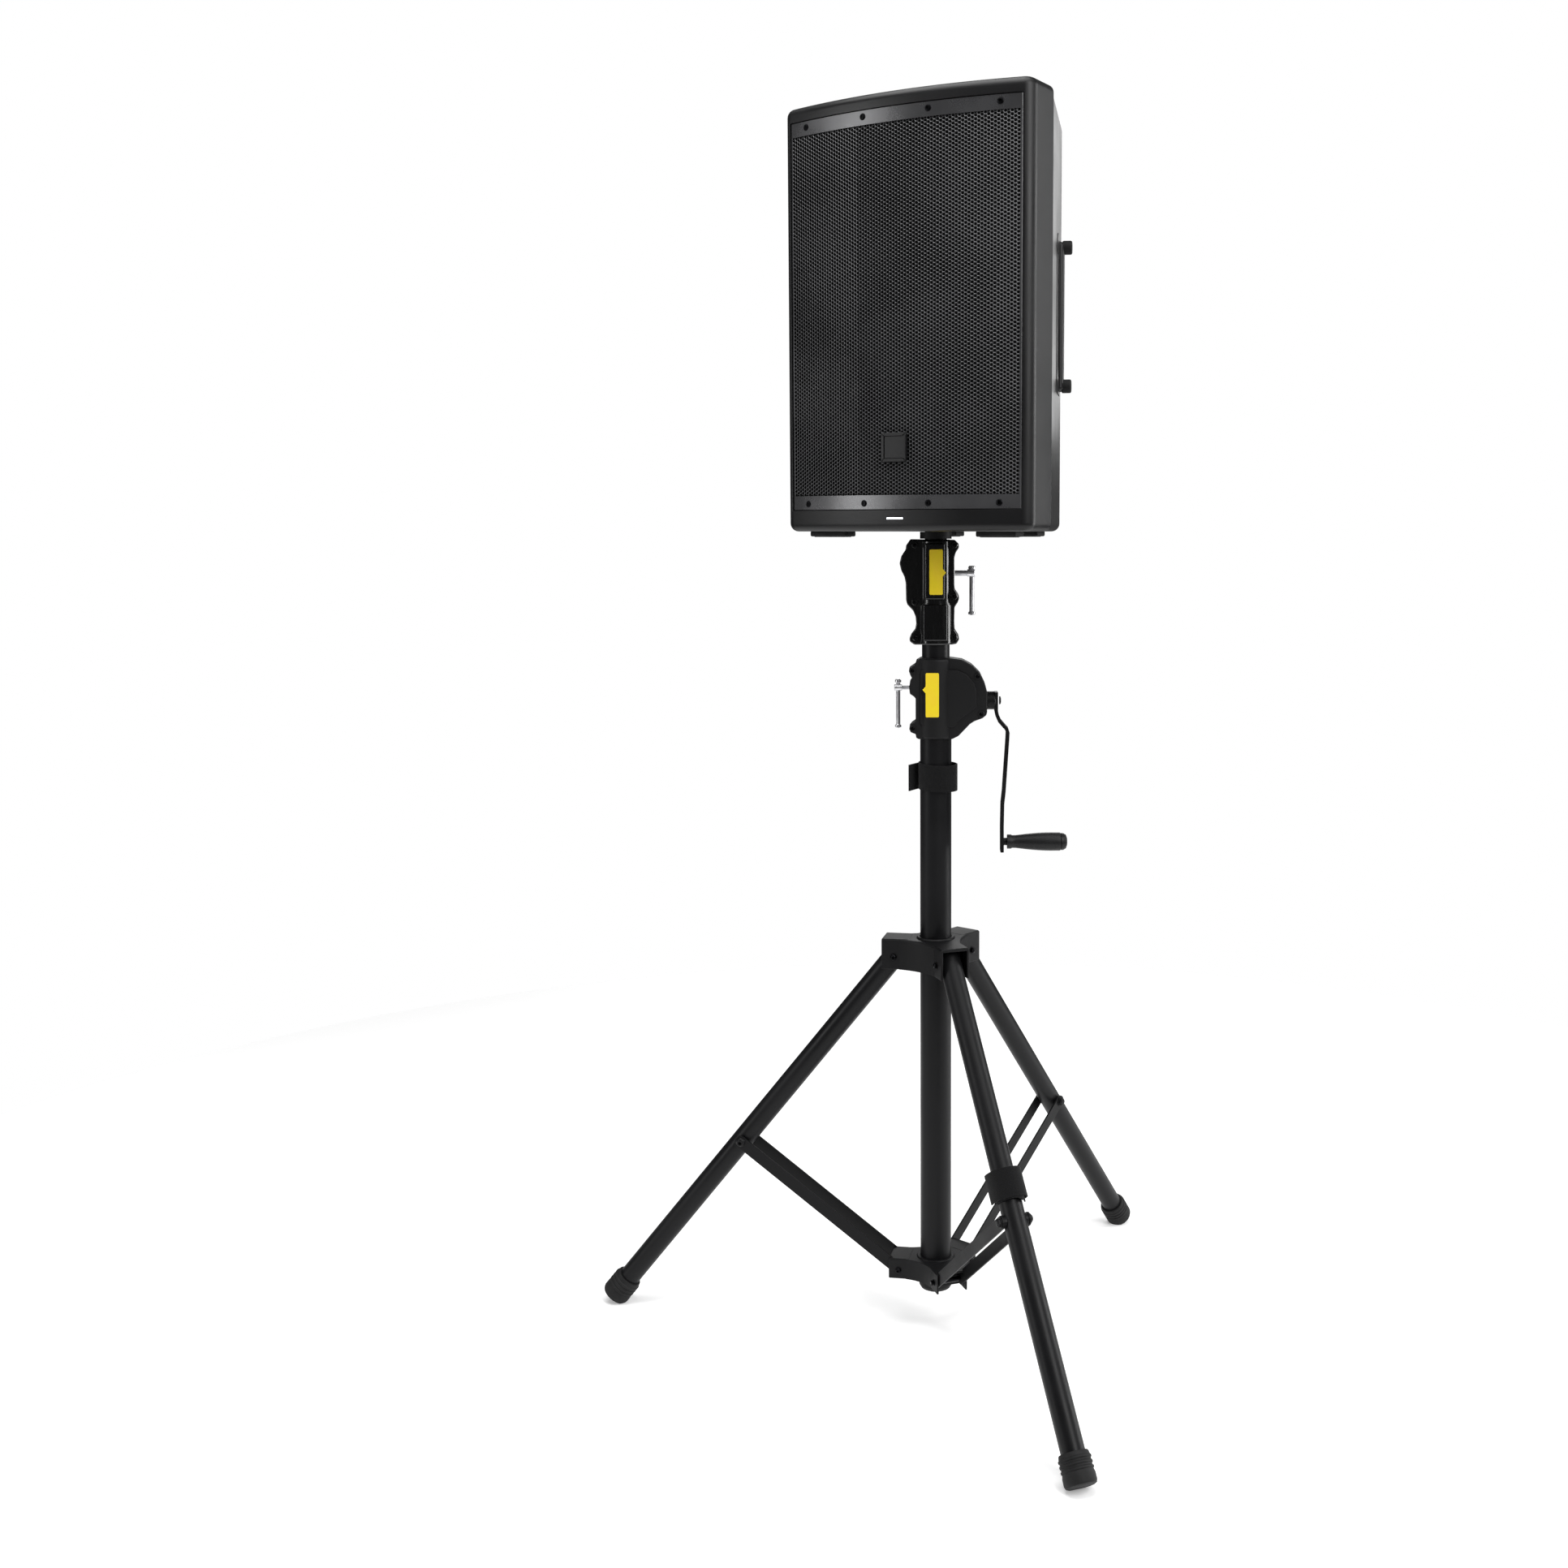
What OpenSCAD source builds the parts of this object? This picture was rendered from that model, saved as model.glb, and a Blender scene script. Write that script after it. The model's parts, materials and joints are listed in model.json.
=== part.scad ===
// Two-way active PA speaker on a wind-up tripod stand.
// Millimetres, +Z up, the speaker faces -Y. The floor is z = 0 and the origin is the middle of
// the footprint, so the mast stands a little off it.

/* [Placing] */
// Mast axis, measured to the right of the origin
mast_x = 42; // [0:1:80]
// Mast axis, measured behind the origin
mast_y = -97; // [-140:1:-60]
// Turn of the stand under the speaker
stand_turn = 30; // [0:1:60]

/* [Tripod] */
// Height of the leg pivots above the floor
pivot_h = 618; // [605:1:640]
// Distance of the leg pivots from the mast axis
pivot_r = 65; // [60:1:72]
// Slope of a leg, measured from straight down
leg_slope = 38.7; // [37:0.1:40]
// Length of a leg from its pivot to the middle of its foot
leg_len = 773; // [770:1:778]
// Outer diameter of a leg tube
leg_d = 35; // [32:1:36]
// Turn of the first leg on the stand
first_leg = -69; // [-80:1:-60]
// Distance from a leg's pivot to the joint of its strut
strut_at = 412; // [405:1:420]
// Distance of the lower strut pivots from the mast axis
spread_r = 58; // [55:1:62]
// Height of the lower strut pivots
spread_h = 97; // [95:1:100]

/* [Mast] */
// Outer diameter of the mast
mast_d = 50; // [50:0.5:51]
// Outer diameter of the lifting tube
mid_d = 44; // [43.5:0.5:44]
// Outer diameter of the top pole
pole_d = 35; // [34.5:0.5:35]
// Underside of the winch case
winch_low = 973; // [965:1:980]
// Top of the winch case
winch_top = 1100; // [1098:1:1104]
// Underside of the clamp case
clamp_low = 1121; // [1118:1:1124]
// Top of the clamp case
clamp_top = 1288; // [1284:1:1288]

/* [Crank] */
// Height of the crank's axis
crank_h = 1032; // [1030:1:1034]
// Radius that the grip turns on
crank_r = 228; // [215:1:230]
// Teeth on the pinion of the crank shaft
pinion_teeth = 12; // [12:1:12]
// Teeth on the drum's gear
drum_teeth = 24; // [24:1:24]

/* [Speaker] */
// Height of the speaker's underside above the floor
box_low = 1300; // [1300:1:1310]
// Height of the cabinet
box_h = 655; // [650:1:670]
// Width of the cabinet
box_w = 435; // [430:1:440]
// Cabinet's front corners, measured in front of the pole
front_gap = 100; // [95:1:105]
// How far the front bulges in its middle
bow = 25; // [15:1:30]
// Back of the cabinet, measured behind the pole
rear_gap = 220; // [215:1:230]
// Radius of the woofer's frame
woofer_r = 192; // [185:1:195]

/* [Hidden] */
$fn = 48;

// clearances: gap between sliding tubes, play of a pin in its hole, reach of a cut past a face
slide_gap = 0.4;
pin_play = 0.05;
past = 1;

mast_r = mast_d / 2;
mid_r = mid_d / 2;
pole_r = pole_d / 2;
leg_r = leg_d / 2;
tube_wall = 2;
mast_low = 75;
mast_high = winch_top - 5;
mid_low = 420;
mid_high = 1186;
pole_low = 760;
pole_high = box_low + 85;

FRONT = 0;
REAR = 1;
LEFT = 2;
function leg_turn(i) = first_leg + 120 * i;

// strut, worked out from its two pivots
joint_x = pivot_r + strut_at * sin(leg_slope);
joint_z = pivot_h - strut_at * cos(leg_slope);
strut_dx = joint_x - spread_r;
strut_dz = joint_z - spread_h;
strut_len = sqrt(strut_dx * strut_dx + strut_dz * strut_dz);
strut_rise = atan2(strut_dz, strut_dx);
bar_in = 19.5;
bar_out = 22.5;
bar_half = 10;
bolt_r = 4;

box_top = box_low + box_h;
half_w = box_w / 2;
seam_y = -30;
seam_w = half_w - 2.5;
skin = 5;
bow_y = -front_gap - bow;
bow_r = ((half_w - 12) * (half_w - 12) + bow * bow) / (2 * bow);
side_turn = 22.65;
rear_round = 22;
trim_low = 33;
trim_top = 24;
window_w = half_w - 13.5;
baffle_y = -75;
baffle_t = 8;
woofer_z = box_low + 235;
horn_z = box_low + 535;
panel_x = 80;
panel_low = box_low + 50;
panel_high = box_low + 290;
panel_y = rear_gap - 20;

module at_mast() { translate([mast_x, mast_y, 0]) children(); }
module in_stand() { at_mast() rotate(stand_turn) children(); }
module in_leg(i) { in_stand() rotate(leg_turn(i)) children(); }
// X runs along the leg from its pivot, Y across it
module along_leg(i) {
    in_leg(i) translate([pivot_r, 0, pivot_h]) rotate([0, 90 - leg_slope, 0]) children();
}

module tube(r, wall, low, high) {
    translate([0, 0, low]) difference() {
        cylinder(r = r, h = high - low);
        translate([0, 0, -past]) cylinder(r = r - wall, h = high - low + 2 * past);
    }
}
// a round bar along X, from one place to another
module bar_x(r, from, to) { translate([from, 0, 0]) rotate([0, 90, 0]) cylinder(r = r, h = to - from); }
// a round bar along Y
module bar_y(r, from, to) { translate([0, from, 0]) rotate([-90, 0, 0]) cylinder(r = r, h = to - from); }
// a flat outline in X and Z given a thickness along Y
module upright(from, to) {
    translate([0, to, 0]) rotate([90, 0, 0]) linear_extrude(to - from) children();
}
module cut_half(front) {
    far = 400;
    intersection() {
        children();
        translate([-far, front ? -far : 0, 0]) cube([2 * far, far, 3 * far + 200]);
    }
}
module rounded_square(x0, z0, x1, z1, r) {
    translate([x0 + r, z0]) square([x1 - x0 - 2 * r, z1 - z0]);
    translate([x0, z0 + r]) square([x1 - x0, z1 - z0 - 2 * r]);
    for (x = [x0 + r, x1 - r], z = [z0 + r, z1 - r]) translate([x, z]) circle(r = r);
}
// one edge of a flat strip that follows a line of points, half its thickness to one side
function strip_edge(p, away) = [for (i = [0:len(p) - 1])
    let (
        a = i == 0 ? p[1] - p[0] : p[i] - p[i - 1],
        b = i == len(p) - 1 ? a : p[i + 1] - p[i],
        across_a = [-a[1], a[0]] / norm(a),
        across_b = [-b[1], b[0]] / norm(b),
        middle = (across_a + across_b) / norm(across_a + across_b)
    )
    p[i] + away * middle / (middle * across_a)];
function turned_round(p) = [for (i = [len(p) - 1:-1:0]) p[i]];
module strip(p, t) { polygon(concat(strip_edge(p, t / 2), turned_round(strip_edge(p, -t / 2)))); }

// ---- mast and its lower end

module lower_screw_cut(r) { translate([0, 0, lower_screw_z]) bar_x(r, -60, -mid_r + 1); }

module mast_tube() {
    color("#202022") in_stand() difference() {
        tube(mast_r, tube_wall, mast_low, mast_high);
        lower_screw_cut(screw_r + slide_gap);
    }
}

module mast_end_cap() {
    plug_r = mast_r - tube_wall - 0.1;
    color("#18181a") in_stand() rotate_extrude() polygon([
        [0, mast_low - 14], [18, mast_low - 14], [24, mast_low - 11], [27, mast_low - 6],
        [27, mast_low + 6], [mast_r, mast_low + 6], [mast_r, mast_low],
        [plug_r, mast_low], [plug_r, mast_low + 18], [0, mast_low + 18]
    ]);
}

ear_in = bar_out + 0.5;
ear_out = ear_in + 3;
hub_low = mast_low + 7;
hub_top = 117;

module spreader_hub() {
    color("#202022") in_stand() difference() {
        union() {
            tube(mast_r + 7, 7, hub_low, hub_top);
            for (i = [0:2]) rotate(leg_turn(i)) for (side = [-1, 1])
                scale([1, side, 1]) upright(ear_in, ear_out)
                    rounded_square(14, hub_low + 1, spread_r + 16, hub_top - 1, 8);
        }
        for (i = [0:2]) rotate(leg_turn(i)) translate([spread_r, 0, spread_h])
            bar_y(bolt_r, -40, 40);
        translate([0, 0, hub_low - past]) cylinder(r = mast_r, h = 60);
    }
}

// the lower pivots are rivets in the ears alone, so that the struts can swing past them
module spreader_bolts() {
    head = 7;
    color("#2c2c30") for (i = [0:2]) in_leg(i) translate([spread_r, 0, spread_h])
        for (side = [-1, 1]) scale([1, side, 1]) {
            bar_y(bolt_r, ear_in, ear_out);
            bar_y(head, ear_out, ear_out + 4.5);
        }
}

strap_low = 885;
strap_high = 935;

module mast_strap() {
    color("#141414") in_stand() translate([0, 0, strap_low]) {
        h = strap_high - strap_low;
        linear_extrude(h) difference() {
            union() {
                circle(r = mast_r + 4);
                translate([0, -12]) square([mast_r + 14, 24]);
            }
            circle(r = mast_r);
            translate([mast_r + 4, -8]) square([6, 16]);
        }
        translate([0, 0, 5]) linear_extrude(h - 10) difference() {
            translate([-mast_r - 24, -9]) square([28, 6]);
            circle(r = mast_r + 4);
        }
    }
}

// ---- winch

gear_module = 1.5;
pinion_r = pinion_teeth * gear_module / 2;
wheel_r = drum_teeth * gear_module / 2;
drum_h = crank_h + pinion_r + wheel_r + 0.1;
winch_half = 30;
winch_left = -32;
winch_flat = 29;
winch_right = 82;
winch_skin = 3.5;
shaft_r = 6;
drum_pin = 4;
screw_r = 6;
lower_screw_z = 1052.5;
winch_boss = [[-37, 1081], [-37, 993]];

// the case's outline: flat towards the mast, a quarter ellipse over the drum, hollow below it
function winch_outline(inset) = concat(
    [for (a = [0:6:90]) [
        winch_flat + (winch_right - winch_flat - inset) * cos(a),
        crank_h + 3 + (winch_top - crank_h - 3 - inset) * sin(a)]],
    [[winch_left + inset, winch_top - inset], [winch_left + inset, winch_low + inset]],
    [for (a = [0:6:90]) [
        winch_right - inset - (winch_right - winch_flat - inset) * cos(a),
        winch_low + 1 + inset + 38 * sin(a)]]
);

module winch_body() {
    difference() {
        union() {
            upright(-winch_half, winch_half) polygon(winch_outline(0));
            for (b = winch_boss) translate([b[0], 0, b[1]]) bar_y(7, -12, 12);
            translate([0, 0, lower_screw_z]) bar_x(11, -45, winch_left + past);
            translate([0, 0, crank_h]) bar_x(12, winch_right - 4, winch_right + 1.5);
        }
        // the gear chamber
        intersection() {
            upright(-winch_half + 4, winch_half - 4) polygon(winch_outline(winch_skin));
            translate([mast_r + 7, -winch_half, winch_low]) cube([44, 2 * winch_half, 130]);
        }
        // the mast, the lifting tube, both shafts and the clamp screw
        translate([0, 0, winch_low - past]) cylinder(r = mast_r, h = mast_high - winch_low + past);
        translate([0, 0, winch_low]) cylinder(r = mid_r + slide_gap, h = 200);
        translate([0, 0, crank_h]) bar_x(shaft_r + pin_play, mast_r + 3, winch_right + 5);
        translate([0, 0, drum_h]) bar_x(drum_pin + pin_play, mast_r + 3, winch_right - 10);
        lower_screw_cut(screw_r + pin_play);
        for (b = winch_boss) translate([b[0], 0, b[1]]) bar_y(2, -20, 20);
    }
}
module winch_case_front() { color("#1b1b1d") in_stand() cut_half(true) winch_body(); }
module winch_case_rear() { color("#1b1b1d") in_stand() cut_half(false) winch_body(); }

module winch_screws() {
    color("#303034") in_stand() for (b = winch_boss) translate([b[0], 0, b[1]]) {
        bar_y(2, -12, 11);
        bar_y(3.6, -14.2, -12);
    }
}

// a gear about X; a tooth points along +Z when turned is 0
module gear(teeth, from, to, turned) {
    r = teeth * gear_module / 2;
    root = r - 1.15 * gear_module;
    tip = r + 0.8 * gear_module;
    translate([from, 0, 0]) rotate([0, 90, 0]) rotate(180 + turned) linear_extrude(to - from) {
        circle(r = root);
        for (k = [0:teeth - 1]) rotate(k * 360 / teeth)
            polygon([[root - 0.6, -1.2], [r, -0.95], [tip, -0.4], [tip, 0.4], [r, 0.95], [root - 0.6, 1.2]]);
    }
}

module winch_drum() {
    color("#8f9194") in_stand() translate([0, 0, drum_h]) {
        gear(drum_teeth, 33, 42, 180 / drum_teeth);
        bar_x(12, 41.5, 60);
        bar_x(16.5, 59.5, 62);
        bar_x(drum_pin, mast_r + 4, winch_right - 12);
    }
}

module crank_shaft() {
    color("#2a2a2d") in_stand() translate([0, 0, crank_h]) {
        bar_x(shaft_r, mast_r + 4, 98);
        gear(pinion_teeth, 33, 42, 0);
        bar_x(14, winch_right + 2.5, 98);
        bar_x(8, 104, 109);
        bar_x(5, 98, 104);
    }
}

arm_half = 9;
module crank_arm() {
    arm_t = 6;
    color("#1d1d20") in_stand() difference() {
        union() {
            upright(-arm_half, arm_half) strip([
                [101, crank_h + 13], [101, crank_h - 22], [118, crank_h - 46],
                [109, crank_h - crank_r - 12]
            ], arm_t);
            translate([0, 0, crank_h - crank_r]) bar_x(5, 109, 200);
        }
        translate([0, 0, crank_h]) bar_x(5, 90, 110);
    }
}

module crank_grip() {
    grip_from = 114.5;
    color("#141416") in_stand() translate([grip_from, 0, crank_h - crank_r]) rotate([0, 90, 0])
        rotate_extrude() polygon([
            [5 + pin_play, 0], [10, 0], [10, 5], [11.5, 8], [12, 22], [14, 42], [15.6, 62],
            [15.4, 76], [13, 88], [9, 94], [4, 96], [0, 96.5], [0, 88], [5 + pin_play, 88]
        ]);
}

// ---- clamp screws with their sliding bars

bar_r = 3.25;
bar_len = 77;
bar_hang = 26;
head_from = 53;
head_to = 66;

module clamp_screw(tip) {
    mid = (head_from + head_to) / 2;
    difference() {
        union() {
            bar_x(screw_r, tip, head_from + 1);
            bar_x(8, head_from, head_to);
        }
        translate([mid, 0, -20]) cylinder(r = bar_r + pin_play, h = 40);
    }
}
module tommy_bar() {
    mid = (head_from + head_to) / 2;
    end_t = 3.5;
    translate([mid, 0, -bar_hang - bar_len / 2]) {
        cylinder(r = bar_r, h = bar_len);
        cylinder(r = 4.3, h = end_t);
        translate([0, 0, bar_len - end_t]) cylinder(r = 4.3, h = end_t);
    }
}
upper_screw_z = 1234.5;
module lower_clamp_screw() {
    color("#c9cbd0") in_stand() translate([0, 0, lower_screw_z]) scale([-1, 1, 1])
        clamp_screw(mid_r + 0.3);
}
module lower_tommy_bar() {
    color("#c9cbd0") in_stand() translate([0, 0, lower_screw_z]) scale([-1, 1, 1]) tommy_bar();
}
module upper_clamp_screw() {
    color("#c9cbd0") in_stand() translate([0, 0, upper_screw_z]) clamp_screw(pole_r + 0.3);
}
module upper_tommy_bar() {
    color("#c9cbd0") in_stand() translate([0, 0, upper_screw_z]) tommy_bar();
}

// ---- the sliding hub and the legs

hub_under = pivot_h - 20;
hub_over = pivot_h + 29;
hub_bore = mast_r + 0.3;
channel_in = 20;
channel_out = 24;
knob_turn = 111;

module leg_hub() {
    reach = 85;
    color("#1e1e20") in_stand() difference() {
        union() {
            tube(hub_bore + 6, 6, hub_under, hub_over);
            translate([0, 0, hub_over - 4]) cylinder(r = 40, h = 4);
            for (i = [0:2]) rotate(leg_turn(i)) {
                translate([20, -channel_out, hub_over - 4]) cube([reach - 20, 2 * channel_out, 4]);
                for (side = [-1, 1]) scale([1, side, 1]) upright(channel_in, channel_out)
                    rounded_square(14, hub_under, reach, hub_over, 6);
            }
            rotate(knob_turn) translate([0, 0, pivot_h]) bar_x(11, mast_r + 4, 44);
        }
        translate([0, 0, hub_under - past]) cylinder(r = hub_bore, h = 80);
        for (i = [0:2]) rotate(leg_turn(i)) translate([pivot_r, 0, pivot_h])
            bar_y(bolt_r, -40, 40);
        rotate(knob_turn) translate([0, 0, pivot_h]) bar_x(bolt_r + pin_play, mast_r, 60);
    }
}

module leg_bolts() {
    head = 7;
    color("#2c2c30") for (i = [0:2]) in_leg(i) translate([pivot_r, 0, pivot_h]) {
        bar_y(bolt_r, -channel_out, channel_out);
        for (side = [-1, 1]) scale([1, side, 1]) bar_y(head, channel_out, channel_out + 4.5);
    }
}

module hub_lock_knob() {
    color("#161618") in_stand() rotate(knob_turn) translate([0, 0, pivot_h]) {
        bar_x(bolt_r, hub_bore + 0.2, 48);
        bar_x(9, 46, 54);
        difference() {
            bar_x(19, 52, 68);
            for (k = [0:5]) rotate([60 * k, 0, 0]) translate([0, 0, 24]) bar_x(9, 50, 70);
        }
    }
}

foot_from = leg_len - 38;
foot_r = 23.8;

// a leg tube with the cross bolt, spacers and heads that its strut turns on
module leg(i) {
    spacer_r = 9;
    head = 8;
    washer = 0.3;
    solid_half = 14;
    color("#232427") along_leg(i) difference() {
        union() {
            bar_x(leg_r, -15, leg_len - 10);
            translate([strut_at, 0, 0]) {
                bar_y(spacer_r, -bar_in + washer, bar_in - washer);
                bar_y(bolt_r, -bar_out - past, bar_out + past);
                for (side = [-1, 1]) scale([1, side, 1]) bar_y(head, bar_out + washer, bar_out + 6);
            }
        }
        bar_x(leg_r - 1.5, -20, strut_at - solid_half);
        bar_x(leg_r - 1.5, strut_at + solid_half, leg_len);
        bar_y(bolt_r + pin_play, -30, 30);
    }
}
module front_leg() { leg(FRONT); }
module rear_leg() { leg(REAR); }
module left_leg() { leg(LEFT); }

module foot(i) {
    color("#121213") intersection() {
        along_leg(i) translate([foot_from, 0, 0]) rotate([0, 90, 0]) rotate_extrude() polygon([
            [leg_r, 0], [foot_r - 1, 0], [foot_r, 2], [foot_r, 36], [22, 41], [18, 44],
            [0, 44], [0, 28], [leg_r, 28]
        ]);
        translate([-1000, -1000, 0]) cube([2000, 2000, 200]);
    }
}
module front_foot() { foot(FRONT); }
module rear_foot() { foot(REAR); }
module left_foot() { foot(LEFT); }

module leg_strap() {
    band = 6;
    color("#131313") along_leg(FRONT) translate([336, 0, 0]) {
        difference() {
            bar_x(leg_r + band, 0, 46);
            bar_x(leg_r, -past, 50);
        }
        difference() {
            bar_x(leg_r + 3, 46, 54);
            bar_x(leg_r, 40, 60);
        }
    }
}

// a pair of flat bars that straddles the leg, on one side and the other
module strut(i) {
    color("#1e1e20") in_leg(i) translate([spread_r, 0, spread_h]) rotate([0, -strut_rise, 0])
        difference() {
            for (side = [-1, 1]) scale([1, side, 1]) upright(bar_in, bar_out) {
                translate([0, -bar_half]) square([strut_len, 2 * bar_half]);
                circle(r = bar_half);
                translate([strut_len, 0]) circle(r = bar_half);
            }
            for (x = [0, strut_len]) translate([x, 0, 0]) bar_y(bolt_r + pin_play, -40, 40);
        }
}
module front_strut() { strut(FRONT); }
module rear_strut() { strut(REAR); }
module left_strut() { strut(LEFT); }

// ---- lifting tube, clamp case and top pole

module mid_tube() { color("#1f1f21") in_stand() tube(mid_r, tube_wall, mid_low, mid_high); }

module lift_plug() {
    color("#3a3a3d") in_stand() {
        translate([0, 0, mid_low - 18]) difference() {
            cylinder(r = mid_r + 0.6, h = 18);
            translate([0, 0, -past]) cylinder(r = 6, h = 30);
        }
        tube(mid_r - tube_wall, 12, mid_low, mid_low + 20);
    }
}

clamp_step = 1189.5;
clamp_boss = [
    [33, 1279], [-30, 1281], [-30, 1189], [31, 1196], [33, 1127], [-34, 1128], [-34, 1207]
];

module clamp_flange() {
    for (b = clamp_boss) translate(b) circle(r = 8.5);
    translate([-28, clamp_low + 4]) square([56, clamp_top - clamp_low - 8]);
    translate([-47, clamp_step]) square([30, 58]);
    translate([-36, 1250]) circle(r = 21);
    translate([-39, clamp_low + 2]) square([14, 14]);
    translate([20, clamp_low]) square([14, clamp_top - clamp_low]);
}

module clamp_body() {
    difference() {
        union() {
            upright(-9, 9) clamp_flange();
            translate([0, 0, clamp_low]) cylinder(r = 24.6, h = clamp_step - clamp_low);
            translate([0, 0, clamp_step]) cylinder(r = 26, h = clamp_top - clamp_step);
            translate([0, 0, upper_screw_z]) bar_x(12, 20, 40);
        }
        translate([0, 0, clamp_low - past]) cylinder(r = mid_r, h = mid_high - clamp_low + past);
        translate([0, 0, clamp_low]) cylinder(r = pole_r + slide_gap, h = 200);
        translate([0, 0, upper_screw_z]) bar_x(screw_r + pin_play, 0, 60);
        for (b = clamp_boss) translate([b[0], 0, b[1]]) bar_y(2, -20, 20);
    }
}
module clamp_case_front() { color("#101012") in_stand() cut_half(true) clamp_body(); }
module clamp_case_rear() { color("#101012") in_stand() cut_half(false) clamp_body(); }

module clamp_screws() {
    color("#303034") in_stand() for (b = clamp_boss) translate([b[0], 0, b[1]]) {
        bar_y(2, -9, 8);
        bar_y(4, -11.4, -9);
    }
}

module top_pole() {
    color("#1c1c1e") in_stand() {
        tube(pole_r, 1.5, pole_low, pole_high - 3);
        translate([0, 0, pole_high - 3]) cylinder(r1 = pole_r, r2 = pole_r - 2, h = 3);
    }
}

module pole_ring() {
    color("#0f0f10") at_mast() tube(25, 25 - pole_r - pin_play, clamp_top + 0.6, box_low - 0.4);
}

// ---- cabinet

// plan of the front shell, drawn in by inset: a bulging front and nearly parallel sides
module front_plan(inset) {
    edge = half_w - inset;
    round_r = 12;
    intersection() {
        translate([0, bow_y + bow_r]) circle(r = bow_r - inset, $fn = 200);
        union() {
            translate([-edge + round_r, bow_y]) square([2 * (edge - round_r), seam_y - bow_y]);
            translate([-edge, -front_gap + round_r]) square([2 * edge, seam_y + front_gap - round_r]);
            for (side = [-1, 1])
                translate([side * (edge - round_r), -front_gap + round_r]) circle(r = round_r);
        }
    }
}

// plan of the rear shell: straight sides that close in, and round rear corners
side_n = [cos(side_turn), sin(side_turn)];
round_x = (side_n * [seam_w, seam_y] - rear_round - side_n[1] * (rear_gap - rear_round)) / side_n[0];
function rear_corner(r) = [for (a = [side_turn:(90 - side_turn) / 8:90.01])
    [round_x + r * cos(a), rear_gap - rear_round + r * sin(a)]];
module rear_plan(inset) {
    corner = rear_corner(rear_round - inset);
    slope_in = inset / side_n[0];
    polygon(concat(
        [[seam_w - slope_in, seam_y]], corner,
        [for (k = [len(corner) - 1:-1:0]) [-corner[k][0], corner[k][1]]],
        [[-seam_w + slope_in, seam_y]]
    ));
}

// along a side of the cabinet: X points out of it, Y runs back from the seam
module on_side(side) {
    at_mast() scale([side, 1, 1]) translate([seam_w, seam_y, 0]) rotate(side_turn) children();
}

module shell_screw_places() {
    for (side = [-1, 1], z = [box_low + 60, box_low + 327, box_top - 60])
        at_mast() translate([side * (seam_w - 20), seam_y, z]) children();
}

module front_shell() {
    mouth_x = 165;
    mouth_z = 88;
    color("#1c1c1e") difference() {
        at_mast() difference() {
            translate([0, 0, box_low]) linear_extrude(box_h) front_plan(0);
            translate([-window_w, bow_y - 5, box_low + trim_low])
                cube([2 * window_w, baffle_y - bow_y + 5, box_h - trim_low - trim_top]);
            intersection() {
                translate([0, 0, box_low + skin]) linear_extrude(box_h - 2 * skin) front_plan(skin);
                translate([-300, baffle_y + baffle_t, box_low]) cube([600, 100, box_h]);
            }
            translate([0, baffle_y, woofer_z]) bar_y(woofer_r - 14, -past, baffle_t + past);
            translate([-mouth_x, baffle_y - past, horn_z - mouth_z])
                cube([2 * mouth_x, baffle_t + 2 * past, 2 * mouth_z]);
            // the light bar's slot
            translate([-14.5, bow_y - past, box_low + 18.5]) cube([29, 5, 3]);
        }
        shell_screw_places() bar_y(2, -60, 10);
    }
    color("#1c1c1e") shell_screw_places() difference() {
        bar_y(7, -37, 0);
        bar_y(2, -60, 10);
    }
    // the grille screws' bosses, each on a rib from the edge of the window
    color("#1c1c1e") at_mast() difference() {
        grille_screw_places() bar_y(6, grille_back + 0.2, 20);
        grille_screw_places() bar_y(grille_screw_r + pin_play, -5, 19);
    }
    color("#1c1c1e") at_mast() for (x = screw_xs, top = [0, 1])
        translate([x - 3, bow_at(x) + 8, top ? grille_high - 4 : grille_low - 3]) cube([6, 12, 7]);
}

handle_s0 = 140;
handle_s1 = 240;
handle_z0 = box_low + 218;
handle_z1 = box_low + 467;

module rear_shell() {
    color("#1a1a1c") difference() {
        union() {
            at_mast() difference() {
                translate([0, 0, box_low]) linear_extrude(box_h) rear_plan(0);
                difference() {
                    translate([0, -past, box_low + skin]) linear_extrude(box_h - 2 * skin)
                        rear_plan(skin);
                    for (x = [-140, 140]) translate([x, 30, box_top - 40]) cylinder(r = 13, h = 40);
                }
                translate([-300, seam_y - 5, box_low + skin]) cube([600, 5.01, box_h - 2 * skin]);
                translate([0, 0, box_low - past]) cylinder(r = 22, h = 20);
                translate([-panel_x, rear_gap - 30, panel_low])
                    cube([2 * panel_x, 40, panel_high - panel_low]);
                for (x = [-140, 140]) translate([x, 30, box_top - 24]) cylinder(r = 9, h = 30);
            }
            shell_screw_places() bar_y(7, 0, 18);
        }
        for (side = [-1, 1]) on_side(side) translate([-12, handle_s0, handle_z0])
            cube([30, handle_s1 - handle_s0, handle_z1 - handle_z0]);
        shell_screw_places() bar_y(2, -5, 30);
    }
}

module shell_screws() {
    color("#303034") shell_screw_places() {
        bar_y(2, -25, 18);
        bar_y(4, 18, 21);
    }
}

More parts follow.
